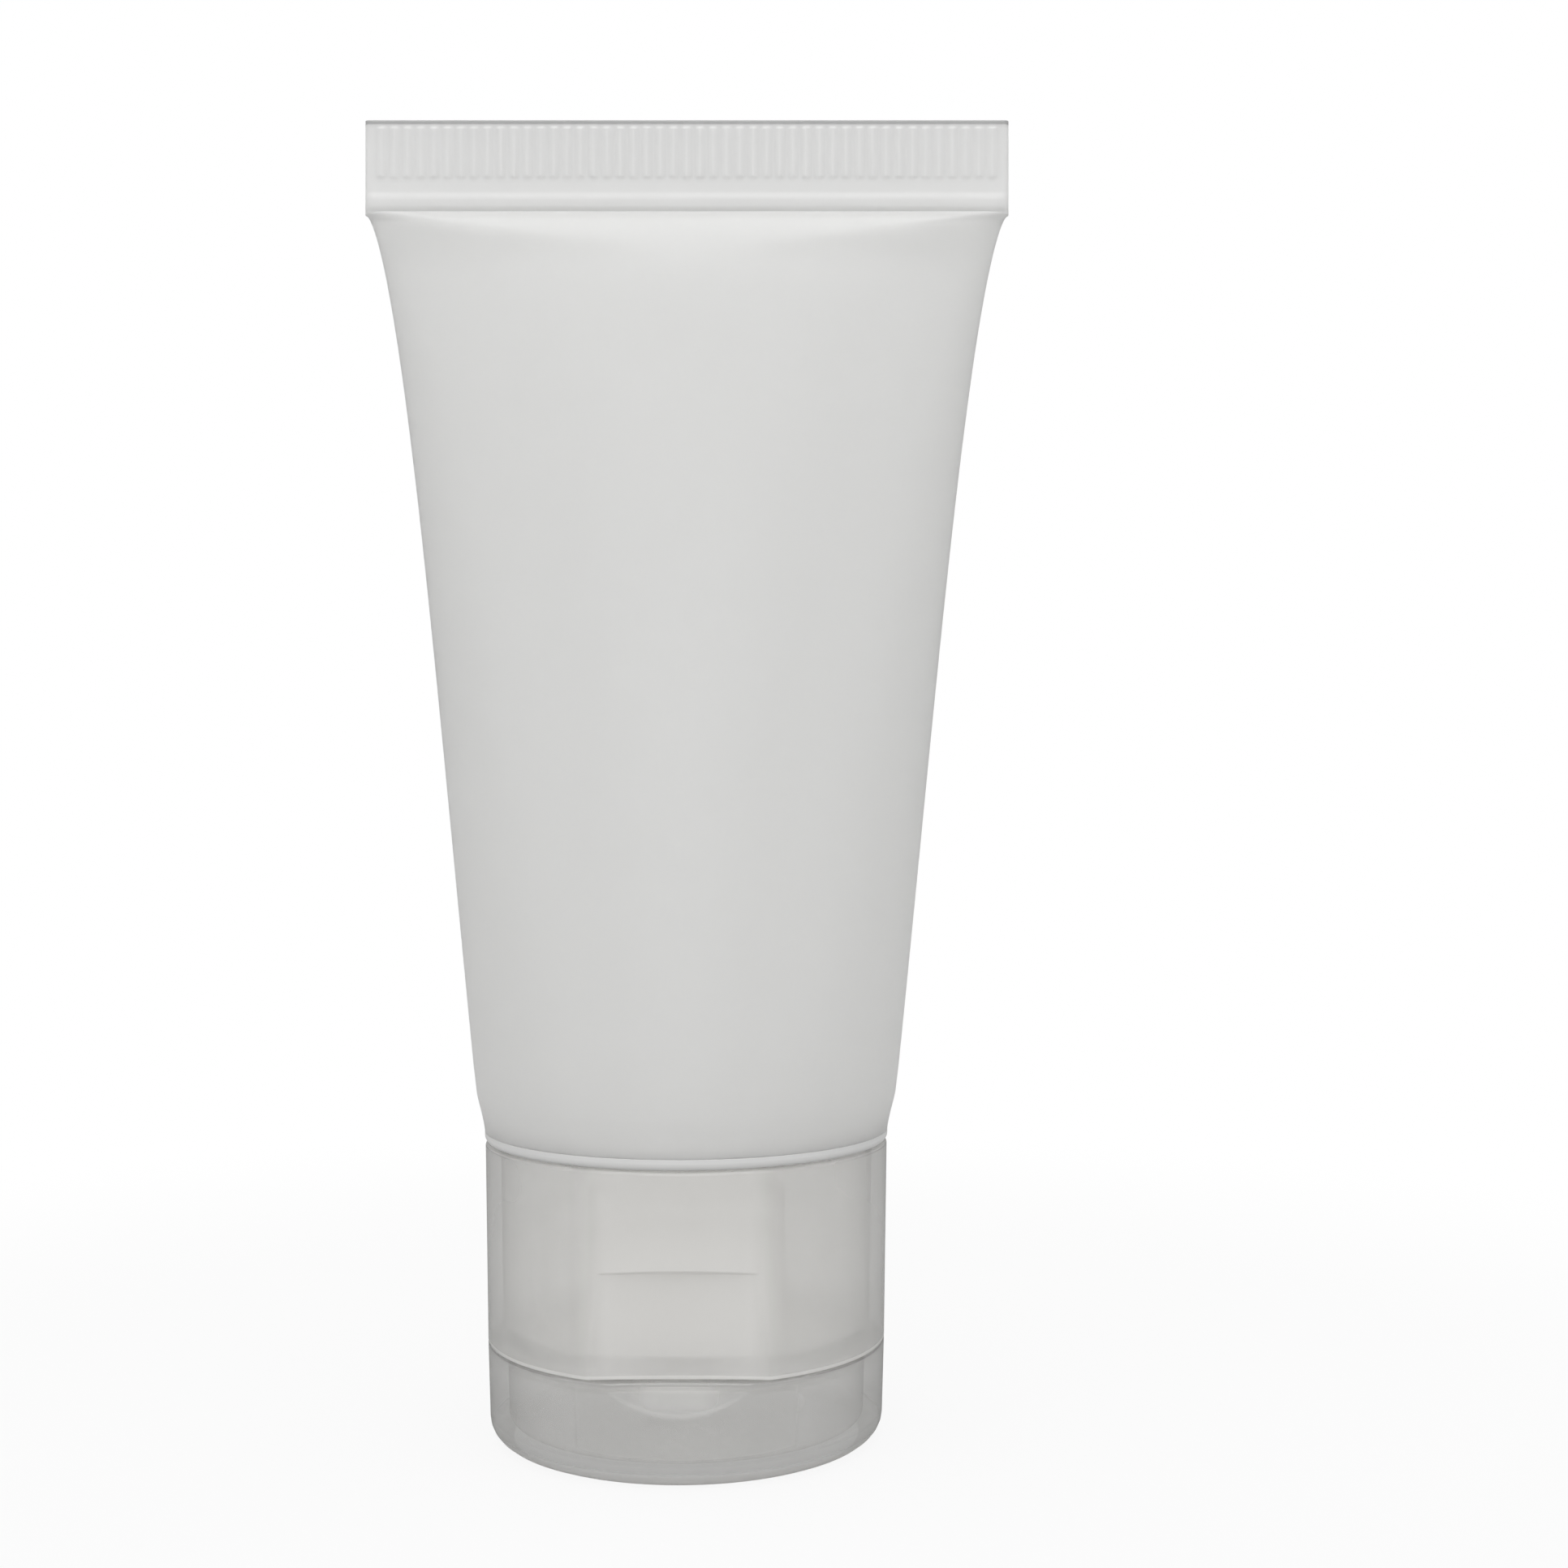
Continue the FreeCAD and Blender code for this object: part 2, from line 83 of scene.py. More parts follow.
TUBE_RADIUS = (SLEEVE_HIGH.x - SLEEVE_LOW.x) / math.pi
HEAD_RADIUS = HEAD_HIGH.x
CAP_RIM = CAP_HIGH.x
PARTING_RADIUS = LID_HIGH.x
FOLD = (STRAP_LOW.z + STRAP_HIGH.z) / 2
PARTING = 2 * FOLD - LID_HIGH.z
HINGE_FLAT = STRAP_LOW.y


def length(name, description, default):
    return FloatProperty(name=name, description=description, default=default, unit="LENGTH", precision=5)


def share(name, description, default):
    return FloatProperty(
        name=name, description=description, default=default, min=0.0, max=1.0, subtype="FACTOR"
    )


def amount(name, description, default):
    return FloatProperty(name=name, description=description, default=default, min=0.0)


def watts(name, description, default):
    return FloatProperty(name=name, description=description, default=default, min=0.0, unit="POWER")


def colour(name, description, default):
    return FloatVectorProperty(
        name=name, description=description, default=default, size=3, min=0.0, max=1.0, subtype="COLOR"
    )


class SleeveSettings(bpy.types.PropertyGroup):
    wall: length("Wall", "Thickness of the sleeve's film", 0.5 * MM)
    closing_power: share("Closing power", "How late the depth closes towards the seal", 0.4)
    side_hollow: share("Side hollow", "How much less deep it is half-way than that power gives", 0.1)
    inner_gap: length("Inner gap", "What is left between the two walls at the seal", 0.1 * MM)
    seal_height: length("Seal height", "Height of the flat sealed band", 6.9 * MM)
    seal_thickness: length("Seal thickness", "Thickness of the two welded walls", 0.9 * MM)
    bead_height: length("Bead height", "Height of the smooth bead at the seal's foot", 1.7 * MM)
    bead_thickness: length("Bead thickness", "Thickness of the bead", 1.3 * MM)
    rib_pitch: length("Rib pitch", "From one pressed rib to the next", 0.97 * MM)
    rib_base: length("Rib base", "Width of a rib at its foot", 0.62 * MM)
    rib_crest: length("Rib crest", "Width of a rib at its crest", 0.26 * MM)
    rib_height: length("Rib height", "How far a rib stands out of each face", 0.16 * MM)
    rib_length: length("Rib length", "Height of the ribbed zone", 3.9 * MM)
    rib_margin: length("Rib margin", "From the ribs to the top edge", 0.45 * MM)
    rib_sides: IntProperty(name="Ribs each side", description="Ribs beside the middle one", default=23)
    rib_fade: length("Rib fade", "Height over which the ribs rise at both ends", 0.25 * MM)
    flare: length("Flare", "How much the seal thickens where the sleeve opens", 0.1 * MM)
    edge: length("Edge", "Rounding of the top edge", 0.16 * MM)


class HeadSettings(bpy.types.PropertyGroup):
    wall: length("Wall", "Thickness of the cone", 1.05 * MM)
    flange: length("Flange", "Thickness of the outer ring", 0.8 * MM)
    edge: length("Edge", "Rounding of the outer edge", 0.5 * MM)
    seat_width: length("Seat width", "Flat ring that the cap comes up to", 1.45 * MM)
    cone_slope: share("Cone slope", "Rise of the cone over its run", 0.384)
    plug_wall: length("Plug wall", "Thickness of the skirt inside the sleeve", 0.8 * MM)
    plug_clearance: length("Plug clearance", "Between that skirt and the sleeve", 0.1 * MM)
    neck_radius: length("Neck radius", "At the root of the thread", 5.6 * MM)
    bore_radius: length("Bore radius", "Inside of the neck", 4.4 * MM)
    tint: colour("Tint", "Colour of the natural plastic", (0.92, 0.915, 0.905))
    weld_tint: colour("Weld tint", "Colour where the sleeve is welded on", (0.56, 0.56, 0.555))
    weld_depth: length("Weld depth", "How deep that colour goes", 0.3 * MM)
    milkiness: share("Milkiness", "Share of light that it lets through, spread", 0.45)
    weld_density: share("Weld density", "How much less it lets through at the weld", 0.4)
    roughness: share("Roughness", "Of its skin between the clouds", 0.32)
    clouding: share("Clouding", "How much rougher the skin is in the clouds", 0.1)


class ThreadSettings(bpy.types.PropertyGroup):
    pitch: length("Pitch", "Rise of the thread in one turn", 2.0 * MM)
    height: length("Height", "How far the ridge stands out", 0.5 * MM)
    crest: length("Crest", "Width of the ridge's crest", 0.3 * MM)
    flank: length("Flank", "Width of each sloping side", 0.3 * MM)
    run_out: length("Run-out", "Over which it fades at both ends", 0.5 * MM)
    neck_lead: length("Neck lead", "From the neck's mouth to its thread", 0.8 * MM)
    neck_tail: length("Neck tail", "From the thread to the cone", 0.5 * MM)
    socket_lead: length("Socket lead", "From the socket's mouth to its thread", 0.7 * MM)
    socket_tail: length("Socket tail", "From the thread to the deck", 1.1 * MM)


class CapSettings(bpy.types.PropertyGroup):
    wall: length("Wall", "Thickness of the outer wall", 1.1 * MM)
    deck: length("Deck", "Thickness of the floor that carries the spout", 1.2 * MM)
    socket_radius: length("Socket radius", "At the root of its thread", 6.3 * MM)
    socket_wall: length("Socket wall", "Thickness of the socket", 0.85 * MM)
    socket_top: length("Socket top", "Height of its open end", 17.88 * MM)
    ring_radius: length("Seal ring radius", "Outside of the ring in the neck", 4.3 * MM)
    ring_wall: length("Seal ring wall", "Thickness of that ring", 0.8 * MM)
    ring_reach: length("Seal ring reach", "How far it goes into the neck", 1.2 * MM)
    spout_tip: length("Spout tip", "Radius of the spout at its tip", 3.0 * MM)
    spout_base: length("Spout base", "Radius of the spout at the deck", 4.6 * MM)
    orifice: length("Orifice", "Radius of the opening", 1.7 * MM)
    land_outer: length("Land radius", "Outside of the ring that centres the lid", 12.6 * MM)
    land_width: length("Land width", "Thickness of that ring", 0.8 * MM)
    land_height: length("Land height", "Height of that ring", 1.2 * MM)


class ScoopSettings(bpy.types.PropertyGroup):
    depth: length("Depth", "Depth of the thumb scoop at the parting line", 1.7 * MM)
    top_depth: length("Top depth", "Depth below its sloping top edge", 1.15 * MM)
    height: length("Height", "Height of the scoop", 7.6 * MM)
    lip: length("Lip", "Height of its sloping top edge", 0.35 * MM)
    wall: length("Wall", "Thickness moulded behind it", 1.1 * MM)
    notch_depth: length("Notch depth", "Depth of the notch in the lid's rim", 1.05 * MM)
    notch_height: length("Notch height", "Height of that notch", 2.1 * MM)
    thumb_radius: length("Thumb radius", "Of scoop and notch, seen from above", 60.0 * MM)
    fade: length("Fade", "Over which that wall thins out above the scoop", 5.0 * MM)
    blend: length("Blend", "Rounding of that wall's inner edges", 0.8 * MM)
    softness: length("Softness", "Rounding of their edges", 0.14 * MM)


class LidSettings(bpy.types.PropertyGroup):
    wall: length("Wall", "Thickness of the lid's wall", 1.4 * MM)
    draft: length("Draft", "How much narrower it is inside at its floor", 0.15 * MM)
    floor: length("Floor", "Thickness of the lid's face", 1.3 * MM)
    taper: length("Taper", "How much its face is smaller in radius than its rim", 0.2 * MM)
    edge: length("Edge", "Rounding of the face's edge", 1.7 * MM)
    pin_base: length("Pin base", "Radius of the closing pin at the floor", 2.2 * MM)
    pin_tip: length("Pin tip", "Radius of the pin at its end", 1.35 * MM)
    pin_top: length("Pin top", "Height of the pin's end", 6.8 * MM)


class HingeSettings(bpy.types.PropertyGroup):
    flat_half_height: length("Flat", "Half the height of the flats under the strap", 3.0 * MM)
    flat_fade: length("Flat fade", "Height over which the flats end", 0.06 * MM)
    web: length("Web", "Thickness of the strap at its fold", 0.16 * MM)
    fold_half_height: length("Fold", "Half the height of the thinned zone", 0.35 * MM)
    seam: length("Seam", "What is left between the strap and the flats", 0.03 * MM)
    bend: length("Bend", "Half the height over which the strap bends", 0.45 * MM)


class FilmSettings(bpy.types.PropertyGroup):
    tint: colour("Tint", "Colour of the frosted film", (0.975, 0.975, 0.97))
    # Painted shade: the cut top edge is painted dark grey for the dark line that shade gives there.
    painted_cut_shade_tint: colour("Cut tint", "Colour of its cut top edge", (0.45, 0.45, 0.45))
    deep_tint: colour("Deep tint", "What a long way through it leaves of the light", (0.5, 0.5, 0.49))
    density: amount("Density", "How fast it takes up light", 120.0)
    clearness: share("Clearness", "Share of light that goes into it", 0.7)
    roughness: share("Roughness", "Of its skin between the clouds", 0.28)
    clouding: share("Clouding", "How much rougher the skin is in the clouds", 0.1)
    cloud_scale: amount("Cloud scale", "Clouds in a metre", 90.0)
    grain_scale: amount("Grain scale", "Grains in a metre", 2600.0)
    grain: share("Grain", "Strength of the matt grain", 0.12)
    grain_height: length("Grain height", "Height of the matt grain", 0.04 * MM)
    milkiness: share("Milkiness", "Share of light that it spreads", 0.5)
    cloud_milk: share("Cloud milk", "How much milkier the clouds are", 0.08)
    seal_milk: share("Seal milk", "How much milkier the seal is", 0.1)
    # Painted shade: the crease under the bead is made less milky, so it shows darker where shade falls in
    # it.
    crease_shade_loss: share("Crease loss", "How much less milky the crease under the bead is", 0.45)
    # Thinner pressed film and painted shade: the grooves between the ribs are made less milky, so they show
    # darker.
    groove_thinness_and_shade_loss: share("Groove loss", "How much less milky it is between the ribs", 0.2)
    # Painted shade: the cut top edge is made less milky, so it shows darker.
    cut_shade_loss: share("Cut loss", "How much less milky the cut top edge is", 0.5)
    chalk: share("Chalk", "Share of the spread light that comes back", 0.2)
    seal_chalk: share("Seal chalk", "How much more of it comes back at the seal", 0.2)
    crease_shade_height: length("Crease height", "Height of the crease under the bead", 0.3 * MM)
    crease_shade_fade: length("Crease fade", "Over which the crease ends", 0.4 * MM)
    groove_fade: length("Groove fade", "Over which the grooves end", 0.3 * MM)
    cut_height: length("Cut height", "Height of the cut top edge", 0.25 * MM)
    cut_fade: length("Cut fade", "Over which that edge ends", 0.15 * MM)


class PlasticSettings(bpy.types.PropertyGroup):
    tint: colour("Tint", "Colour of the hazy clear plastic", (0.996, 0.994, 0.988))
    milk: colour("Milk", "Colour of its haze", (0.992, 0.986, 0.974))
    deep_tint: colour("Deep tint", "What a long way through it leaves of the light", (0.5, 0.5, 0.48))
    # Real shine, made grey so that with the edge gloss it paints dark edge lines as painted shade.
    gloss_and_edge_shade_tint: colour("Gloss tint", "Colour of its skin's shine", (0.42, 0.42, 0.41))
    density: amount("Density", "How fast it takes up light", 30.0)
    clearness: share("Clearness", "Share of light that goes into it", 0.92)
    roughness: share("Roughness", "Of its skin between the clouds", 0.2)
    clouding: share("Clouding", "How much rougher the skin is in the clouds", 0.08)
    cloud_scale: amount("Cloud scale", "Clouds in a metre", 120.0)
    straight: share("Straight", "Share of the light in it that goes straight on", 0.6)
    chalk: share("Chalk", "Share of the spread light that comes back", 0.5)
    # Painted light: more of the middle's spread light comes back, for the lit neck seen through the cap.
    lit_middle_chalk: share("Middle chalk", "How much more of it comes back from the thick middle", 0.3)
    gloss: share("Gloss", "How much a face mirrors when seen straight on", 0.04)
    # Real shine edge on, and painted shade: with the grey tint it darkens the walls seen edge on.
    edge_gloss_and_shade: share("Edge gloss", "How much more a wall mirrors edge on", 0.65)
    # Painted shadow: the band under the parting line mirrors more of the dark room, as the shadow in the gap
    # there.
    gap_shadow_gloss: share("Joint gloss", "How much more the joint under the parting line does", 0.3)
    gloss_roughness: share("Gloss roughness", "Of that shine", 0.15)


class HazeSettings(bpy.types.PropertyGroup):
    everywhere: share("Everywhere", "Haze of the clear plastic", 0.12)
    clouds: share("Clouds", "How much more the clouds have", 0.06)
    upper: share("Upper", "How much more the cap has than the lid", 0.09)
    # Painted light and shade: the cap's lower part is milkier and lighter, the upper part darker where the
    # head shades it.
    low: share("Low", "How much more the cap's lower part has", 0.08)
    lit_low_foot: length("Low foot", "Height at which that starts to fade", 12.0 * MM)
    lit_low_top: length("Low top", "Height at which it has faded", 20.0 * MM)
    # Painted light: the middle, where the walls stack, is made milkier for the lit neck seen through the
    # cap.
    middle: share("Middle", "How much more the thick middle has", 0.62)
    lit_middle_radius: length("Middle radius", "Radius of the thick middle", 7.4 * MM)
    lit_middle_fade: length("Middle fade", "Over which it ends", 1.0 * MM)
    backed: share("Backed", "How much more the wall behind the scoop has", 0.24)
    backed_depth: length("Backed depth", "From the axis to the thick wall behind the scoop", 8.0 * MM)
    backed_half_width: length("Backed width", "Half the width of that wall", 4.6 * MM)
    backed_fade: length("Backed fade", "Over which its sides end", 2.8 * MM)
    # Painted light: a lighter line along the cap's lower rim, for the light carried along its edge.
    rim: share("Rim", "How much more the cap's lower rim has", 0.35)
    lit_rim_height: length("Rim height", "Height of that rim", 0.25 * MM)
    # Painted shadow: the dark line under the parting line stands for the shadow in the gap.
    gap_shadow_top: length("Joint top", "From the parting line to the dark line under it", 0.08 * MM)
    gap_shadow_foot: length("Joint foot", "From the parting line to that line's foot", 0.3 * MM)
    line_fade: length("Line fade", "Over which rim and joint end", 0.05 * MM)
    wall_radius: length("Wall radius", "Radius from which rim and joint are in the wall", 12.0 * MM)
    wall_fade: length("Wall fade", "Over which they come in", 0.2 * MM)
    # Painted light: the lid's face is milkier and lighter, for the light carried through it.
    foot: share("Foot", "How much more the lid's face has", 0.3)
    lit_face_height: length("Foot height", "Height of the milkier face", 0.9 * MM)
    lit_face_fade: length("Foot fade", "Over which it ends", 0.3 * MM)
    # Painted light: the thumb notch's upward facing slope is milkier and lighter, for the light that falls
    # on it.
    notch: share("Notch", "How much more the thumb notch has", 0.16)
    notch_depth: length("Notch depth", "From the axis to the notch", 11.0 * MM)
    notch_height: length("Notch height", "Height of the milkier notch", 1.0 * MM)
    lit_notch_half_width: length("Notch width", "Half the width of the milkier notch", 1.2 * MM)
    lit_notch_fade: length("Notch fade", "Over which its foot ends", 1.4 * MM)
    lit_notch_side_fade: length("Notch side fade", "Over which its sides end", 3.0 * MM)
    strap: share("Strap", "How much more the bent strap has", 0.4)


class StageSettings(bpy.types.PropertyGroup):
    floor_size: length("Floor size", "Side of the pale floor", 12.0)
    floor_tint: colour("Floor tint", "Colour of its paint, which takes the shadow", (0.5, 0.5, 0.5))
    floor_white: share("Floor white", "How far it is plain white close to the tube", 0.9)
    floor_room: share("Floor room", "What clear parts show of the floor", 0.36)
    shadow_near: length("Shadow near", "Radius at which the shadow starts to fade", 0.06)
    shadow_far: length("Shadow far", "Radius at which it has faded", 0.14)
    camera_place: FloatVectorProperty(
        name="Camera place", description="Where the camera stands", size=3, subtype="TRANSLATION",
        default=(7.1 * MM, -158.8 * MM, 47.2 * MM),
    )
    camera_lens: FloatProperty(
        name="Lens", description="Focal length on a 36 mm sensor", default=49.8, unit="CAMERA"
    )
    world_light: amount("World light", "Strength of the even light", 0.6)
    room_light: amount("Room light", "What clear parts show of the room", 0.26)
    mirror_light: amount("Mirror light", "What glossy skins show of the room", 0.08)
    lamp_light: watts("Lamp light", "Power of the softbox overhead", 2.8)
    front_light: watts("Front light", "Power of the softbox in front", 1.3)
    side_light: watts("Side light", "Power of each side softbox", 0.9)
    aim_height: length("Aim height", "Height of the place that the softboxes face", 0.05)


class TubeSettings(bpy.types.PropertyGroup):
    sleeve: PointerProperty(type=SleeveSettings, name="Sleeve", description="The soft sleeve and its seal")
    head: PointerProperty(type=HeadSettings, name="Head", description="The shoulder and neck")
    thread: PointerProperty(type=ThreadSettings, name="Thread", description="The thread of neck and cap")
    cap: PointerProperty(type=CapSettings, name="Cap", description="The screw cap")
    scoop: PointerProperty(type=ScoopSettings, name="Scoop", description="Where the thumb goes")
    lid: PointerProperty(type=LidSettings, name="Lid", description="The flip lid")
    hinge: PointerProperty(type=HingeSettings, name="Hinge", description="The strap and its flats")
    film: PointerProperty(type=FilmSettings, name="Film", description="The sleeve's frosted film")
    plastic: PointerProperty(type=PlasticSettings, name="Plastic", description="The cap's clear plastic")
    haze: PointerProperty(type=HazeSettings, name="Haze", description="Where that plastic is milkier")
    stage: PointerProperty(type=StageSettings, name="Stage", description="Floor, light and camera")


# Shapes


def ease(values, low, high):
    """0 below low, 1 above high, and 3t^2 - 2t^3 between, t being the share of the way."""
    t = np.clip((values - low) / (high - low), 0, 1)
    return t * t * (3 - 2 * t)


def soft_least(one, other, softness):
    """The lesser of two arrays, with a round corner of that softness where they cross: the straight mix of
    both less softness times h(1 - h), h being how far one is below the other."""
    h = np.clip(0.5 + 0.5 * (other - one) / softness, 0, 1)
    return other * (1 - h) + one * h - softness * h * (1 - h)


def steps(start, end, step):
    """Shares of a straight run: both ends, a holding point close to each, and even steps between."""
    run = np.hypot(*(end - start))
    hold = min(HOLD / run, 0.25) if run > 4 * HOLD else 0.0
    inner = np.linspace(hold, 1 - hold, max(int(np.ceil(run * (1 - 2 * hold) / step)), 1) + 1)
    return np.unique(np.concatenate([[0.0], inner, [1.0]]))


def rounded_outline(corners, closed=True):
    """Points of an outline of (radius, height, rounding, step) corners. Each corner becomes an arc tangent
    to both of its sides, and the run after it is cut into steps. An open outline starts and ends on the
    axis."""
    places = np.array([corner[:2] for corner in corners])
    count = len(corners)
    arcs = []
    for n, (_, _, rounding, _) in enumerate(corners):
        here = places[n]
        before, after = places[n - 1], places[(n + 1) % count]
        if rounding == 0 or (not closed and n in (0, count - 1)):
            arcs.append(here[None, :])
            continue
        to_before = (before - here) / np.hypot(*(before - here))
        to_after = (after - here) / np.hypot(*(after - here))
        half = math.acos(float(np.clip(to_before @ to_after, -1, 1))) / 2
        middle = (to_before + to_after) / np.hypot(*(to_before + to_after))
        centre = here + middle * rounding / math.sin(half)
        turn = math.pi - 2 * half
        first = (here + to_before * rounding / math.tan(half) - centre) / rounding
        last = (here + to_after * rounding / math.tan(half) - centre) / rounding
        along = np.linspace(0, 1, max(math.ceil(math.degrees(turn) / ARC_STEP), 2) + 1)[:, None]
        arc = (np.sin((1 - along) * turn) * first + np.sin(along * turn) * last) / math.sin(turn)
        arcs.append(centre + rounding * arc)
    points = []
    for n in range(count):
        points.append(arcs[n])
        if not closed and n == count - 1:
            break
        start, end = arcs[n][-1], arcs[(n + 1) % count][0]
        if np.hypot(*(end - start)) > SAME:
            between = steps(start, end, corners[n][3])[1:-1, None]
            points.append(start + (end - start) * between)
    return np.concatenate(points)


def crowded_angles(count, bands):
    """Angles round the axis that cut a density of 1, raised by each band of (centre, half width, crowding),
    into equal shares."""
    turn = 2 * math.pi
    fine = np.linspace(0, turn, 7201)
    density = np.ones(len(fine) - 1)
    for centre, half_width, crowding in bands:
        off = np.abs((fine[:-1] - centre + turn / 2) % turn - turn / 2)
        density += crowding * (off < half_width)
    summed = np.concatenate([[0.0], np.cumsum(density)]) / density.sum()
    return np.interp(np.arange(count) / count, summed, fine)


def grid_quads(rows, columns, closed_rows):
    """Corner numbers of the faces of a grid whose columns close on themselves. They turn with the columns
    first, so a row that climbs while its columns go round anticlockwise faces outwards."""
    row = np.arange(rows if closed_rows else rows - 1)[:, None]
    column = np.arange(columns)[None, :]
    here, above, beside = row * columns, (row + 1) % rows * columns, (column + 1) % columns
    corners = (here + column, here + beside, above + beside, above + column)
    return np.stack(corners, axis=-1).reshape(-1, 4)


def mesh_piece(name, points, quads, triangles=None):
    """A mesh object from arrays of points, four-cornered faces and three-cornered faces, shaded smooth."""
    triangles = np.zeros((0, 3), int) if triangles is None else triangles
    sides = np.concatenate([np.full(len(quads), 4), np.full(len(triangles), 3)])
    corner_numbers = np.concatenate([quads.ravel(), triangles.ravel()])
    mesh = bpy.data.meshes.new(name)
    mesh.vertices.add(len(points))
    mesh.vertices.foreach_set("co", np.ascontiguousarray(points, dtype=np.float32).ravel())
    mesh.loops.add(len(corner_numbers))
    mesh.loops.foreach_set("vertex_index", corner_numbers.astype(np.int32))
    mesh.polygons.add(len(sides))
    mesh.polygons.foreach_set("loop_start", (np.cumsum(sides) - sides).astype(np.int32))
    mesh.polygons.foreach_set("use_smooth", np.ones(len(sides), dtype=bool))
    mesh.update(calc_edges=True)
    mesh.validate()
    piece = bpy.data.objects.new(name, mesh)
    bpy.context.scene.collection.objects.link(piece)
    return piece


def turned_piece(name, outline, angles, reshape, poles=False):
    """An outline carried round the Z axis: x = r cos a, y = r sin a, z = height, where reshape changes r for
    each point and angle. With poles, the outline's two ends are single points on the axis."""
    rings = outline[1:-1] if poles else outline
    shape = (len(rings), len(angles))
    radius, height, angle = (np.broadcast_to(each, shape) for each in (rings[:, :1], rings[:, 1:], angles))
    radius = reshape(radius, height, angle)
    points = np.stack([radius * np.cos(angle), radius * np.sin(angle), height], axis=-1).reshape(-1, 3)
    quads = grid_quads(len(rings), len(angles), closed_rows=not poles)
    if not poles:
        return mesh_piece(name, points, quads)
    column = np.arange(len(angles))
    beside = (column + 1) % len(angles)
    last_ring = (len(rings) - 1) * len(angles)
    low_pole, high_pole = len(points), len(points) + 1
    low = np.stack([np.full_like(column, low_pole), beside, column], axis=-1)
    high = np.stack([last_ring + column, last_ring + beside, np.full_like(column, high_pole)], axis=-1)
    ends = [[0, 0, outline[0, 1]], [0, 0, outline[-1, 1]]]
    return mesh_piece(name, np.concatenate([points, ends]), quads, np.concatenate([low, high]))


def thread_ridge(thread, height, angle, low, high, phase):
    """How far a right-handed thread stands out: full on the crest, sloping to nothing over a flank either
    side of the line whose height grows by one pitch a turn, and fading at both ends of its reach."""
    along = height - low - thread.pitch * (angle / (2 * math.pi) + phase)
    off = np.abs((along + thread.pitch / 2) % thread.pitch - thread.pitch / 2)
    ridge = 1 - ease(off, thread.crest / 2, thread.crest / 2 + thread.flank)
    fade = ease(height, low, low + thread.run_out) * (1 - ease(height, high - thread.run_out, high))
    return thread.height * ridge * fade


def hollow_radius(scoop, floor, deepest, angle):
    """Where a ray from the tube's axis meets a circle round an upright axis in front of the cap, whose near
    side lies at floor: the nearer root of the ray's quadratic, and far away where the ray misses."""
    centre = deepest + scoop.thumb_radius
    size = centre - floor
    along = -np.sin(angle) * centre
    inside_root = along**2 - centre**2 + size**2
    near = along - np.sqrt(np.maximum(inside_root, 0))
    return np.where((along > 0) & (inside_root > 0), near, FAR_AWAY)


def hinge_flat_radius(hinge, height, angle):
    """Where a ray from the axis meets the flat under the strap, and far away above and below it."""
    sine = np.maximum(np.sin(angle), 1e-6)
    half = hinge.flat_half_height
    beyond = ease(np.abs(height - PARTING), half - hinge.flat_fade, half)
    return HINGE_FLAT / sine + beyond * 10 * MM


def cap_outside(height):
    """The cap's plain outer radius at a height: straight from the parting line to its rim."""
    return np.interp(height, [PARTING, CAP_HIGH.z], [PARTING_RADIUS, CAP_RIM])


def cap_inside(cap, height):
    """The cap's plain inner radius at a height: straight from the deck to its rim."""
    ends = [PARTING_RADIUS - cap.wall, CAP_RIM - cap.wall]
    return np.interp(height, [PARTING + cap.deck, CAP_HIGH.z], ends)


def lid_outside(lid, height):
    """The lid's plain outer radius at a height: straight from its face to the parting line."""
    return np.interp(height, [0, LID_HIGH.z], [PARTING_RADIUS - lid.taper, PARTING_RADIUS])


def scooped_cap_radius(tube, radius, height, angle):
    """The cap's plain radius with its outer wall moved in to the scoop and the hinge's flat, its inner wall
    moved in to the flat face behind the scoop, and what lies between moved in proportion. The socket's
    thread stands in from the socket's wall."""
    cap, scoop = tube.cap, tube.scoop
    deck_top = PARTING + cap.deck
    outer, inner = cap_outside(height), cap_inside(cap, height)
    deepest = PARTING_RADIUS - scoop.depth
    lip_foot = PARTING + scoop.height - scoop.lip
    floor = np.interp(
        height,
        [PARTING, lip_foot, lip_foot + 2 * scoop.lip],
        [deepest, PARTING_RADIUS - scoop.top_depth, PARTING_RADIUS + scoop.top_depth],
    )
    hollow = hollow_radius(scoop, floor, deepest, angle)
    flat = hinge_flat_radius(tube.hinge, height, angle)
    new_outer = soft_least(outer, np.minimum(hollow, flat), scoop.softness)
    backing_top = PARTING + scoop.height + scoop.wall
    backing = (deepest - scoop.wall) / np.maximum(-np.sin(angle), 1e-6)
    fading = scoop.depth + scoop.wall - cap.wall + scoop.blend
    backing = backing + fading * ease(height, backing_top, backing_top + scoop.fade)
    above_deck = height > deck_top - SAME
    kept = np.where(above_deck, cap.socket_radius + cap.socket_wall, cap.land_outer)
    inner = np.where(above_deck, inner, kept)
    new_inner = np.where(above_deck, soft_least(inner, backing, scoop.blend), kept)
    in_wall = new_inner + (radius - inner) * (new_outer - new_inner) / (outer - inner)
    on_deck = kept + (radius - kept) * (new_inner - kept) / np.maximum(inner - kept, 1e-9)
    moved = np.where(radius > inner, in_wall, np.where(radius > kept, on_deck, radius))
    on_socket = np.abs(radius - cap.socket_radius) < SAME
    low, high = deck_top + tube.thread.socket_tail, cap.socket_top - tube.thread.socket_lead
    ridge = thread_ridge(tube.thread, height, angle, low, high, phase=0.5)
    return moved - np.where(on_socket, ridge, 0)


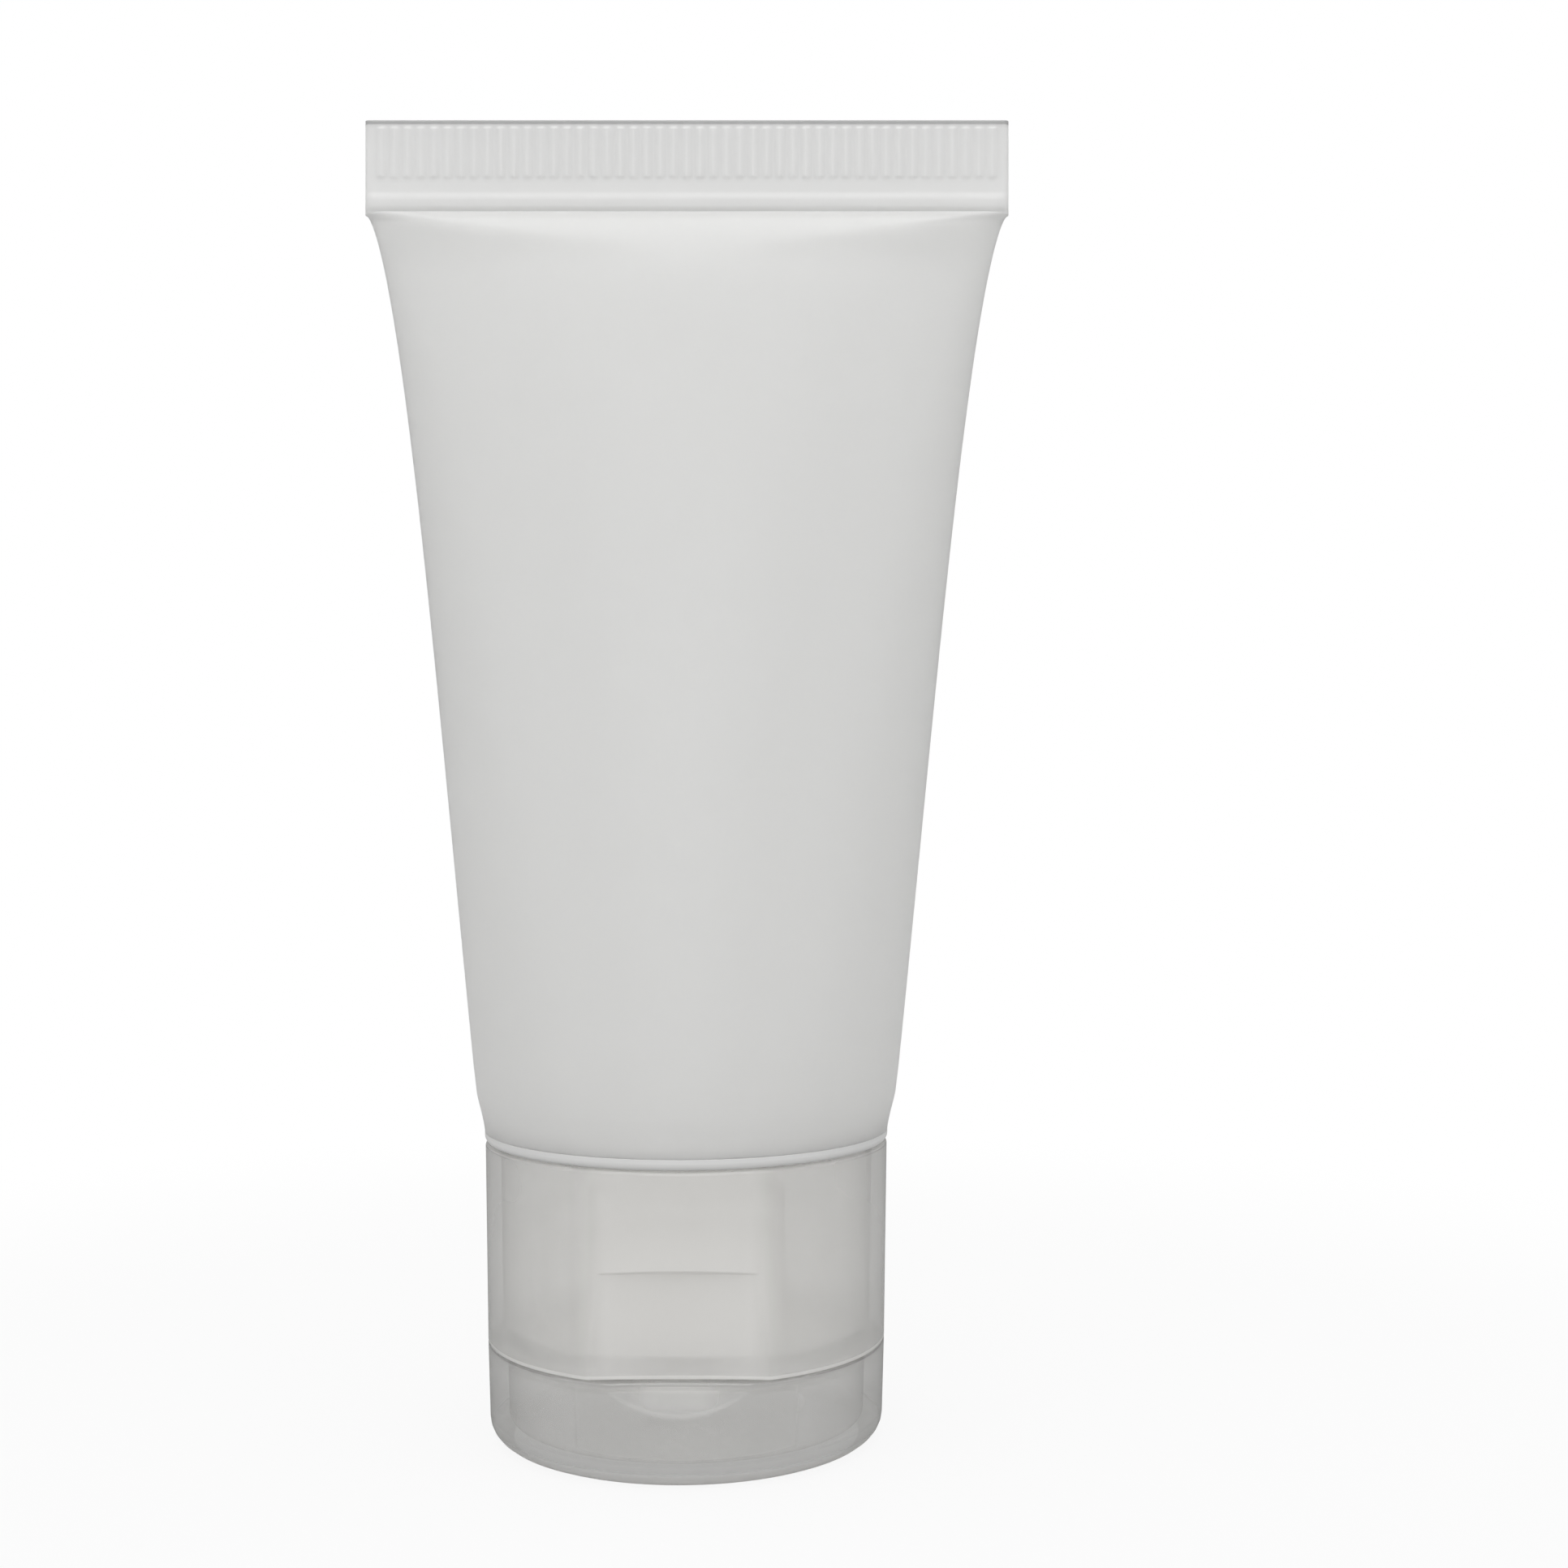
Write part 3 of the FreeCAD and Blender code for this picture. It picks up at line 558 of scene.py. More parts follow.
def notched_lid_radius(tube, radius, height, angle):
    """The lid's plain radius with its outer wall moved in to the thumb notch and the hinge's flat."""
    lid, scoop = tube.lid, tube.scoop
    outer = lid_outside(lid, height)
    inside = PARTING_RADIUS - lid.wall
    inner = np.interp(height, [lid.floor, LID_HIGH.z], [inside - lid.draft, inside])
    deepest = PARTING_RADIUS - scoop.notch_depth
    floor = np.interp(
        height,
        [LID_HIGH.z - 1.75 * scoop.notch_height, LID_HIGH.z - 0.25 * scoop.notch_height],
        [PARTING_RADIUS + scoop.notch_depth, deepest],
    )
    hollow = hollow_radius(scoop, floor, deepest, angle)
    flat = hinge_flat_radius(tube.hinge, height, angle)
    new_outer = soft_least(outer, np.minimum(hollow, flat), scoop.softness)
    moved = inner + (radius - inner) * (new_outer - inner) / (outer - inner)
    return np.where(radius > inner, moved, radius)


def half_depth(sleeve, radius, seal_half, along):
    """Half the sleeve's depth at a share of its length: the seal's half, plus the rest times (1 - share) to
    the closing power, less the side hollow."""
    closing = (1 - along) ** sleeve.closing_power * (1 - sleeve.side_hollow * along * (1 - along))
    return seal_half + (radius - seal_half) * closing


def half_width(radius, depth):
    """Half the width that keeps an ellipse's girth equal to the round tube's, to a quarter of a percent."""
    return radius * (math.pi / 2 - (math.pi / 2 - 1) * (depth / radius) ** 1.7)


def seal_columns(sleeve):
    """Shares of the seal's half width, from 1 to -1, with one at each corner of every rib and an even turn
    round each end."""
    width = math.pi * TUBE_RADIUS / 2
    end = sleeve.seal_thickness / 2
    centres = np.arange(-sleeve.rib_sides, sleeve.rib_sides + 1)[:, None] * sleeve.rib_pitch
    corners = np.array([-sleeve.rib_base, -sleeve.rib_crest, sleeve.rib_crest, sleeve.rib_base]) / 2
    ribs = (centres + np.append(corners, sleeve.rib_pitch / 2)).ravel()
    turn = width - end * (1 - np.sin(np.linspace(0, math.pi / 2, 6)))
    last_rib = sleeve.rib_sides * sleeve.rib_pitch + sleeve.rib_base / 2
    margin = np.linspace(last_rib, turn[0], 4)[1:-1]
    side = np.concatenate([margin, turn])
    inner = ribs[np.abs(ribs) <= last_rib + 1e-9]
    return np.sort(np.concatenate([-side, inner, side]))[::-1] / width


def sleeve_rings(sleeve, columns, along, radius, foot_radius, seal_half, half_thickness):
    """Rings of the sleeve, as x and y arrays of one row for each share of its length. A ring is an ellipse
    of half width a and half depth b, whose ends tighten near the seal until it is a flat band with round
    ends. Its columns slide from even angles at the foot to the seal's own columns."""
    count = 2 * (len(columns) - 1)
    turn = np.arange(count) / count * 2 * math.pi
    even = np.cos(turn)
    ribbed = np.concatenate([columns, columns[-2:0:-1]])
    at_foot = 1 - ease(along, 0, 0.05)
    depth = half_depth(sleeve, radius, seal_half, np.clip(along, 0, 1))
    width = half_width(radius, depth)
    depth = np.where(along > 0, depth, foot_radius)
    depth = np.where(along > 1, half_thickness, depth)
    foot_gap = radius - foot_radius
    width = width - foot_gap * at_foot
    depth = depth - np.where(along > 0, foot_gap * at_foot, 0)
    slide = ease(along, 0.55, 0.97)[:, None]
    across = even * (1 - slide) + ribbed * slide
    tighten = ease(along, 0.93, 1.0)
    end = (width * (1 - tighten) + np.minimum(depth, width) * tighten)[:, None]
    x = width[:, None] * across
    past = np.clip((np.abs(x) - (width[:, None] - end)) / end, 0, 1)
    side = np.where(turn <= math.pi, 1.0, -1.0)
    y = side * depth[:, None] * np.sqrt(np.maximum(1 - past**2, 0))
    return x, y


def flat_end(first, count, upwards):
    """Faces that close a flat ring of points, front to back, from the corner number of its first point."""
    near = np.arange(1, count // 2 - 1)
    far = count - near
    quads = np.stack([near, near + 1, far - 1, far], axis=-1) + first
    tips = np.array([[0, 1, count - 1], [count // 2 - 1, count // 2, count // 2 + 1]]) + first
    return (quads, tips) if upwards else (quads[:, ::-1], tips[:, ::-1])


def sleeve_piece(name, sleeve, foot_radius):
    """The whole sleeve in one closed surface: down the inside from the seal, round the foot, up the outside,
    over the bead and the ribbed band, and over its top edge."""
    foot, top = SLEEVE_LOW.z, SLEEVE_HIGH.z
    seal_foot = top - sleeve.seal_height
    run = seal_foot - foot
    inner_run = run - sleeve.wall
    columns = seal_columns(sleeve)
    count = 2 * (len(columns) - 1)

    # Rows crowd towards the seal, where the sleeve closes, and at the foot, where it flares.
    inner_along = 1 - np.linspace(0, 1, 44) ** 1.9
    inner_height = foot + inner_run * inner_along
    foot_rows = [0.0005, 0.004, 0.01, 0.02, 0.03, 0.04]
    outer_along = np.unique(np.concatenate([1 - np.linspace(1, 0, 68) ** 2.4, foot_rows]))
    rib_top = top - sleeve.rib_margin
    rib_foot = rib_top - sleeve.rib_length
    bead_top = seal_foot + sleeve.bead_height
    rib_end = 0.3 * MM
    levels = [seal_foot, bead_top, rib_foot, rib_foot + rib_end, rib_top - rib_end, rib_top]
    spans = zip(levels, levels[1:], (22, 4, 5, 5, 5))
    band = [np.linspace(low, high, rows)[1:] for low, high, rows in spans]
    band = np.concatenate([*band, [rib_top + 0.06 * MM, top - 0.2 * MM]])
    edge = np.linspace(0, math.pi / 2, 5)[1:]
    flat_half = sleeve.seal_thickness / 2
    rounding = sleeve.edge
    top_heights = top - rounding + rounding * np.sin(edge)
    heights = np.concatenate([foot + run * outer_along, band, [top - rounding], top_heights])
    along = (heights - foot) / run
    bead = ease(heights, seal_foot - 0.02 * MM, seal_foot + 0.3 * sleeve.bead_height)
    bead = bead * (1 - ease(heights, seal_foot + 0.62 * sleeve.bead_height, bead_top))
    half_thickness = flat_half + (sleeve.bead_thickness - sleeve.seal_thickness) / 2 * bead
    half_thickness = half_thickness + sleeve.flare * (1 - ease(heights, seal_foot, seal_foot + 0.2 * MM))
    into_edge = np.clip((heights - (top - rounding)) / rounding, 0, 1)
    half_thickness = half_thickness - rounding * (1 - np.sqrt(1 - into_edge**2))

    outer_x, outer_y = sleeve_rings(
        sleeve, columns, along, TUBE_RADIUS, foot_radius, flat_half + sleeve.flare, half_thickness
    )
    inner_radius = TUBE_RADIUS - sleeve.wall
    inner_x, inner_y = sleeve_rings(
        sleeve, columns, inner_along, inner_radius, foot_radius - sleeve.wall, sleeve.inner_gap / 2, 0.0
    )

    # The ribs stand out of both faces of the band.
    centre_off = np.abs((outer_x + sleeve.rib_pitch / 2) % sleeve.rib_pitch - sleeve.rib_pitch / 2)
    slope = (sleeve.rib_base - sleeve.rib_crest) / 2
    ridge = 1 - np.clip((centre_off - sleeve.rib_crest / 2) / slope, 0, 1)
    within = np.abs(outer_x) < sleeve.rib_sides * sleeve.rib_pitch + sleeve.rib_base / 2
    tall = ease(heights, rib_foot, rib_foot + sleeve.rib_fade)
    tall = tall * (1 - ease(heights, rib_top - sleeve.rib_fade, rib_top))
    outer_y = outer_y + np.sign(outer_y) * sleeve.rib_height * ridge * within * tall[:, None]

    x = np.concatenate([inner_x, outer_x])
    y = np.concatenate([inner_y, outer_y])
    z = np.concatenate([inner_height, heights])[:, None] + 0 * x
    points = np.stack([x, y, z], axis=-1).reshape(-1, 3)
    low_quads, low_tips = flat_end(0, count, upwards=False)
    high_quads, high_tips = flat_end((len(x) - 1) * count, count, upwards=True)
    quads = np.concatenate([grid_quads(len(x), count, closed_rows=False), low_quads, high_quads])
    return mesh_piece(name, points, quads, np.concatenate([low_tips, high_tips]))


def strap_piece(name, hinge):
    """The strap as a film on the hinge's flats. Its rows crowd at the fold, where its outside dips to the
    web by a straight V."""
    half = (STRAP_HIGH.z - STRAP_LOW.z) / 2
    even = np.linspace(-1, 1, 41)
    up = np.sign(even) * np.abs(even) ** 1.6 * half
    thickness = STRAP_HIGH.y - STRAP_LOW.y
    outside = hinge.web + (thickness - hinge.web) * np.clip(np.abs(up) / hinge.fold_half_height, 0, 1)
    height = FOLD + up
    across = np.linspace(STRAP_HIGH.x, STRAP_LOW.x, 12)
    rows = len(height)
    y = np.concatenate([HINGE_FLAT + outside, np.full(rows, HINGE_FLAT + hinge.seam)])
    z = np.concatenate([height, height[::-1]])
    x_grid, y_grid = np.meshgrid(across, y, indexing="ij")
    z_grid = np.broadcast_to(z, x_grid.shape)
    points = np.stack([x_grid, y_grid, z_grid], axis=-1).reshape(-1, 3)
    quads = grid_quads(len(across), 2 * rows, closed_rows=False)
    step = np.arange(rows - 1)
    side = np.stack([step, step + 1, 2 * rows - 2 - step, 2 * rows - 1 - step], axis=-1)
    far = (len(across) - 1) * 2 * rows
    return mesh_piece(name, points, np.concatenate([quads, side[:, ::-1], side + far]))


# Finishes


class Number:
    """A shader socket in a sum or product. Each operation adds a Math node."""

    def __init__(self, finish, socket):
        self.finish = finish
        self.socket = socket

    def joined(self, operation, first, second):
        node = self.finish.node("ShaderNodeMath", {"operation": operation}, {0: first, 1: second})
        return Number(self.finish, node.outputs[0])

    def __add__(self, other):
        return self.joined("ADD", self, other)

    __radd__ = __add__

    def __sub__(self, other):
        return self.joined("SUBTRACT", self, other)

    def __rsub__(self, other):
        return self.joined("SUBTRACT", other, self)

    def __mul__(self, other):
        return self.joined("MULTIPLY", self, other)

    __rmul__ = __mul__

    def cosine(self):
        return self.joined("COSINE", self, 0.0)


class Finish:
    """The nodes of a material or of the world, and the one way to add to them."""

    def __init__(self, owner):
        owner.use_nodes = True
        self.owner = owner
        self.tree = owner.node_tree
        self.tree.nodes.clear()

    def node(self, kind, settings=None, sockets=None):
        """Adds a node, sets its settings, then gives its sockets their values or links."""
        node = self.tree.nodes.new(kind)
        for key, value in (settings or {}).items():
            setattr(node, key, value)
        for key, value in (sockets or {}).items():
            socket = node.inputs[key]
            if isinstance(value, Number):
                value = value.socket
            if isinstance(value, bpy.types.NodeSocket):
                self.tree.links.new(value, socket)
            else:
                socket.default_value = value
        return node

    def noise(self, scale, detail):
        """Even noise on object coordinates, as a Number about 0.5."""
        place = self.node("ShaderNodeTexCoord")
        noise = self.node(
            "ShaderNodeTexNoise", None,
            {"Vector": place.outputs["Object"], "Scale": scale, "Detail": detail, "Roughness": 0.55},
        )
        return Number(self, noise.outputs["Fac"])

    def between(self, value, low, high):
        """0 where a Number is at low, 1 where it is at high, and smooth between."""
        node = self.node(
            "ShaderNodeMapRange", {"interpolation_type": "SMOOTHSTEP"},
            {"Value": value, "From Min": low, "From Max": high},
        )
        return Number(self, node.outputs["Result"])

    def from_axis(self):
        """Distance from the tube's axis, as a Number."""
        place = self.node("ShaderNodeTexCoord")
        flat = self.node(
            "ShaderNodeVectorMath", {"operation": "MULTIPLY"},
            {0: place.outputs["Object"], 1: (1.0, 1.0, 0.0)},
        )
        size = self.node("ShaderNodeVectorMath", {"operation": "LENGTH"}, {0: flat.outputs["Vector"]})
        return Number(self, size.outputs["Value"])

    def edge_on(self):
        """How much more light a smooth wall mirrors edge on: (1 - cosine of the angle)^3, and nothing on
        faces that lie flat."""
        layer = self.node("ShaderNodeLayerWeight", None, {"Blend": 0.5})
        facing = Number(self, layer.outputs["Facing"])
        place = self.node("ShaderNodeTexCoord")
        apart = self.node("ShaderNodeSeparateXYZ", None, {"Vector": place.outputs["Normal"]})
        upward = Number(self, apart.outputs["Z"])
        return facing * facing * facing * (1 - self.between(upward * upward, 0.1, 0.5))

    def place(self, axis):
        """Place along an axis, as a Number."""
        place = self.node("ShaderNodeTexCoord")
        apart = self.node("ShaderNodeSeparateXYZ", None, {"Vector": place.outputs["Object"]})
        return Number(self, apart.outputs[axis])

    def band(self, axis, low, high, softness):
        """1 from low to high along an axis, and 0 beyond that, over a softness at both ends."""
        place = self.place(axis)
        return self.between(place, low - softness, low) * (1 - self.between(place, high, high + softness))

    def across(self, half_width, softness):
        """1 within a half width either side of the middle, and 0 beyond it, over a softness."""
        return self.band("X", -half_width, half_width, softness)

    def mix(self, part, first, second):
        """Two shaders mixed by the second's part, a plain number or a Number."""
        return self.node(
            "ShaderNodeMixShader", None, {"Fac": part, 1: first.outputs[0], 2: second.outputs[0]}
        )

    def tone(self, part, first, second):
        """Two colours mixed by the second's part, as a socket."""
        node = self.node(
            "ShaderNodeMix", {"data_type": "RGBA"},
            {"Factor": part, 6: opaque_colour(first), 7: opaque_colour(second)},
        )
        return node.outputs[2]

    def depth(self, look):
        """A volume that takes up light along its way, by the look's density and deep tint."""
        return self.node(
            "ShaderNodeVolumeAbsorption", None,
            {"Color": opaque_colour(look.deep_tint), "Density": look.density},
        )

    def finish(self, surface, volume=None):
        """Joins a surface, and a volume if there is one, to the output, and returns the material."""
        sockets = {"Surface": surface.outputs[0]}
        if volume is not None:
            sockets["Volume"] = volume.outputs[0]
        self.node("ShaderNodeOutputMaterial", None, sockets)
        return self.owner


def opaque_colour(rgb):
    return (*rgb, 1.0)


def frosted_film(sleeve, look):
    """Milky polyethylene: light passes it but is spread, with a fine matt grain and a faint cloudiness. It
    is less milky between the ribs, where the pressed film is thinner and painted shade darkens the grooves,
    and in the crease under the bead as painted shade; its cut top edge is painted dark grey as painted
    shade."""
    film = Finish(bpy.data.materials.new("frosted film"))
    top = SLEEVE_HIGH.z
    rib_top = top - sleeve.rib_margin
    seal_foot = top - sleeve.seal_height
    cloud = film.noise(look.cloud_scale, 3.0)
    grain = film.noise(look.grain_scale, 2.0)
    wave = (film.place("X") * (2 * math.pi / sleeve.rib_pitch)).cosine()
    ribbed = film.band("Z", rib_top - sleeve.rib_length, rib_top, look.groove_fade)
    # Thinner pressed film and painted shade in the grooves between the ribs.
    groove_thinness_and_shade = film.between(wave * -1.0, -0.5, 0.5) * ribbed
    sealed = film.between(film.place("Z"), seal_foot, seal_foot + MM)
    # Painted shade in the crease under the bead.
    crease = film.band("Z", seal_foot - look.crease_shade_height, seal_foot, look.crease_shade_fade)
    # Painted shade: a dark grey, less milky band along the cut top edge.
    cut_foot = top - look.cut_height
    cut_shade = film.between(film.place("Z"), cut_foot - look.cut_fade, cut_foot)
    bump = film.node(
        "ShaderNodeBump", None, {"Strength": look.grain, "Distance": look.grain_height, "Height": grain}
    )
    body = film.node(
        "ShaderNodeBsdfPrincipled", None,
        {
            "Base Color": film.tone(cut_shade, look.tint, look.painted_cut_shade_tint),
            "Roughness": look.roughness + look.clouding * cloud,
            "IOR": 1.45,
            "Transmission Weight": look.clearness,
            "Normal": bump.outputs["Normal"],
        },
    )
    skin = {"Color": opaque_colour(look.tint), "Normal": bump.outputs["Normal"]}
    milk = film.node("ShaderNodeBsdfTranslucent", None, skin)
    chalk = film.node("ShaderNodeBsdfDiffuse", None, skin)
    milky = film.mix(look.chalk + look.seal_chalk * sealed, milk, chalk)
    # Painted shade: the milk is taken down in the crease under the bead, between the ribs (also for their
    # thinner film) and on the cut top edge, so these show darker.
    milkiness = (
        look.milkiness + look.cloud_milk * cloud + look.seal_milk * sealed
        - look.crease_shade_loss * crease - look.groove_thinness_and_shade_loss * groove_thinness_and_shade - look.cut_shade_loss * cut_shade
    )
    return film.finish(film.mix(milkiness, body, milky), film.depth(look))


def natural_plastic(head):
    """The head's uncoloured polyethylene, milkier than the cap because it is thick."""
    plastic = Finish(bpy.data.materials.new("natural plastic"))
    cloud = plastic.noise(140.0, 2.0)
    weld = HEAD_RADIUS - head.weld_depth
    welded = plastic.between(plastic.from_axis(), weld - head.weld_depth, weld)
    body = plastic.node(
        "ShaderNodeBsdfPrincipled", None,
        {
            "Base Color": plastic.tone(welded, head.tint, head.weld_tint),
            "Roughness": head.roughness + head.clouding * cloud,
            "IOR": 1.5,
        },
    )
    milk = plastic.node("ShaderNodeBsdfTranslucent", None, {"Color": opaque_colour(head.tint)})
    return plastic.finish(plastic.mix(head.milkiness - head.weld_density * welded, body, milk))


def hazy_clear(look, haze):
    """The cap's uncoloured polypropylene: see-through with a soft haze. Painted light makes it milkier in
    the middle, where the walls stack, for the lit neck seen through it, and in its lower part, lower rim,
    lid face and thumb notch. It is darker where it is seen edge on, because the light goes a longer way in
    it and from a grey shine there that is painted shade, and a band under the parting line is a painted
    shadow line."""
    plastic = Finish(bpy.data.materials.new("hazy clear plastic"))
    cloud = plastic.noise(look.cloud_scale, 2.0)
    radius, backwards, height = plastic.from_axis(), plastic.place("Y"), plastic.place("Z")
    upper = plastic.between(height, PARTING - 0.1 * MM, PARTING + 0.1 * MM)
    # Painted light low in the cap, painted shade higher up under the head.
    low = upper * (1 - plastic.between(height, haze.lit_low_foot, haze.lit_low_top))
    # Painted light in the middle, for the lit neck seen through the cap.
    middle = upper * (1 - plastic.between(radius, haze.lit_middle_radius, haze.lit_middle_radius + haze.lit_middle_fade))
    behind_scoop = upper * (1 - plastic.between(backwards, -haze.backed_depth - MM, -haze.backed_depth))
    backed = behind_scoop * plastic.across(haze.backed_half_width, haze.backed_fade)
    in_wall = plastic.between(radius, haze.wall_radius, haze.wall_radius + haze.wall_fade)
    # Painted light along the cap's lower rim.
    rim = in_wall * plastic.band("Z", PARTING, PARTING + haze.lit_rim_height, haze.line_fade)
    # Painted shadow line in the gap under the parting line.
    joint = in_wall * plastic.band("Z", PARTING - haze.gap_shadow_foot, PARTING - haze.gap_shadow_top, haze.line_fade)
    # Painted light on the lid's face.
    foot = 1 - plastic.between(height, haze.lit_face_height, haze.lit_face_height + haze.lit_face_fade)
    # Painted light on the thumb notch.
    in_front = 1 - plastic.between(backwards, -haze.notch_depth - 0.5 * MM, -haze.notch_depth)
    notch = in_front * plastic.band("Z", LID_HIGH.z - haze.notch_height, LID_HIGH.z, haze.lit_notch_fade)
    notch = notch * plastic.across(haze.lit_notch_half_width, haze.lit_notch_side_fade) * (1 - upper)
    on_flats = plastic.between(backwards, HINGE_FLAT + 0.01 * MM, HINGE_FLAT + 0.02 * MM)
    strap = on_flats * plastic.band("Z", STRAP_LOW.z, STRAP_HIGH.z, 0.02 * MM)

    body = plastic.node(
        "ShaderNodeBsdfPrincipled", None,
        {
            "Base Color": opaque_colour(look.tint),
            "Roughness": look.roughness + look.clouding * cloud,
            "IOR": 1.49,
            "Transmission Weight": look.clearness,
        },
    )
    clear = plastic.node("ShaderNodeBsdfTransparent", None, {"Color": opaque_colour(look.tint)})
    milk = plastic.node("ShaderNodeBsdfTranslucent", None, {"Color": opaque_colour(look.milk)})
    chalk = plastic.node("ShaderNodeBsdfDiffuse", None, {"Color": opaque_colour(look.milk)})
    gloss = plastic.node(
        "ShaderNodeBsdfGlossy", None,
        {"Color": opaque_colour(look.gloss_and_edge_shade_tint), "Roughness": look.gloss_roughness},
    )
    milkiness = (
        haze.everywhere + haze.clouds * cloud + haze.upper * upper + haze.low * low + haze.middle * middle
        + haze.backed * backed + haze.rim * rim + haze.foot * foot + haze.strap * strap + haze.notch * notch
    )
    seen = plastic.mix(look.straight, body, clear)
    milky = plastic.mix(look.chalk + look.lit_middle_chalk * middle, milk, chalk)
    hazed = plastic.mix(milkiness, seen, milky)
    # Painted shade: edge on, and in the band under the parting line, the grey shine darkens the plastic.
    mirroring = look.gloss + look.edge_gloss_and_shade * plastic.edge_on() + look.gap_shadow_gloss * joint
    return plastic.finish(plastic.mix(mirroring, hazed, gloss), plastic.depth(look))


# Operators


def settings_of(context):
    return context.scene.squeeze_tube


def place_piece(piece, material, body, node):
    """Gives a finished piece its material and hands it to the frame in place of its solid."""
    if len(piece.data.polygons) == 0:
        raise RuntimeError(f"{piece.name} has no faces")
    piece.data.materials.append(material)
    if body is not None:
        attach(piece, body)
    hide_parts(node)


def cap_material(tube):
    """The one clear plastic of cap, lid and strap, made when the first of them asks for it."""
    return bpy.data.materials.get("hazy clear plastic") or hazy_clear(tube.plastic, tube.haze)


class TUBE_OT_sleeve(bpy.types.Operator):
    """Builds the frosted sleeve with its sealed end"""

    bl_idname = "squeeze_tube.sleeve"
    bl_label = "Build sleeve"

    def execute(self, context):
        tube = settings_of(context)
        piece = sleeve_piece("frosted_sleeve", tube.sleeve, HEAD_RADIUS)
        place_piece(piece, frosted_film(tube.sleeve, tube.film), "tube", "tube_sleeve")
        return {"FINISHED"}


class TUBE_OT_head(bpy.types.Operator):
    """Builds the shoulder and the threaded neck"""

    bl_idname = "squeeze_tube.head"
    bl_label = "Build head"

    def execute(self, context):
        tube = settings_of(context)
        head, thread = tube.head, tube.thread
        seat, foot = SLEEVE_LOW.z - head.flange, SLEEVE_LOW.z
        seat_inner = HEAD_RADIUS - head.seat_width
        cone_foot = seat - (seat_inner - head.neck_radius) * head.cone_slope
        plug = HEAD_RADIUS - tube.sleeve.wall - head.plug_clearance
        plug_inner = plug - head.plug_wall
        funnel_top = seat + head.wall
        funnel_foot = funnel_top - (plug_inner - head.bore_radius) * head.cone_slope
        mouth = HEAD_LOW.z
        outline = rounded_outline([
            (head.bore_radius, mouth, 0.15 * MM, 0.5 * MM),
            (head.neck_radius, mouth, 0.35 * MM, 0.1 * MM),
            (head.neck_radius, cone_foot, 0.4 * MM, 0.6 * MM),
            (seat_inner, seat, 0.2 * MM, 0.5 * MM),
            (HEAD_RADIUS, seat, head.edge, 0.3 * MM),
            (HEAD_RADIUS, foot, 0.0, 0.3 * MM),
            (plug, foot, 0.05 * MM, 0.4 * MM),
            (plug, HEAD_HIGH.z, 0.15 * MM, 0.4 * MM),
            (plug_inner, HEAD_HIGH.z, 0.15 * MM, 0.4 * MM),
            (plug_inner, funnel_top, 0.3 * MM, 0.6 * MM),
            (head.bore_radius, funnel_foot, 0.6 * MM, 0.6 * MM),
        ])

        def threaded(radius, height, angle):
            on_neck = np.abs(radius - head.neck_radius) < SAME
            low, high = mouth + thread.neck_lead, cone_foot - thread.neck_tail
            return radius + np.where(on_neck, thread_ridge(thread, height, angle, low, high, phase=0.0), 0)

        piece = turned_piece("threaded_head", outline, crowded_angles(280, ()), threaded)
        place_piece(piece, natural_plastic(head), "tube", "tube_head")
        return {"FINISHED"}


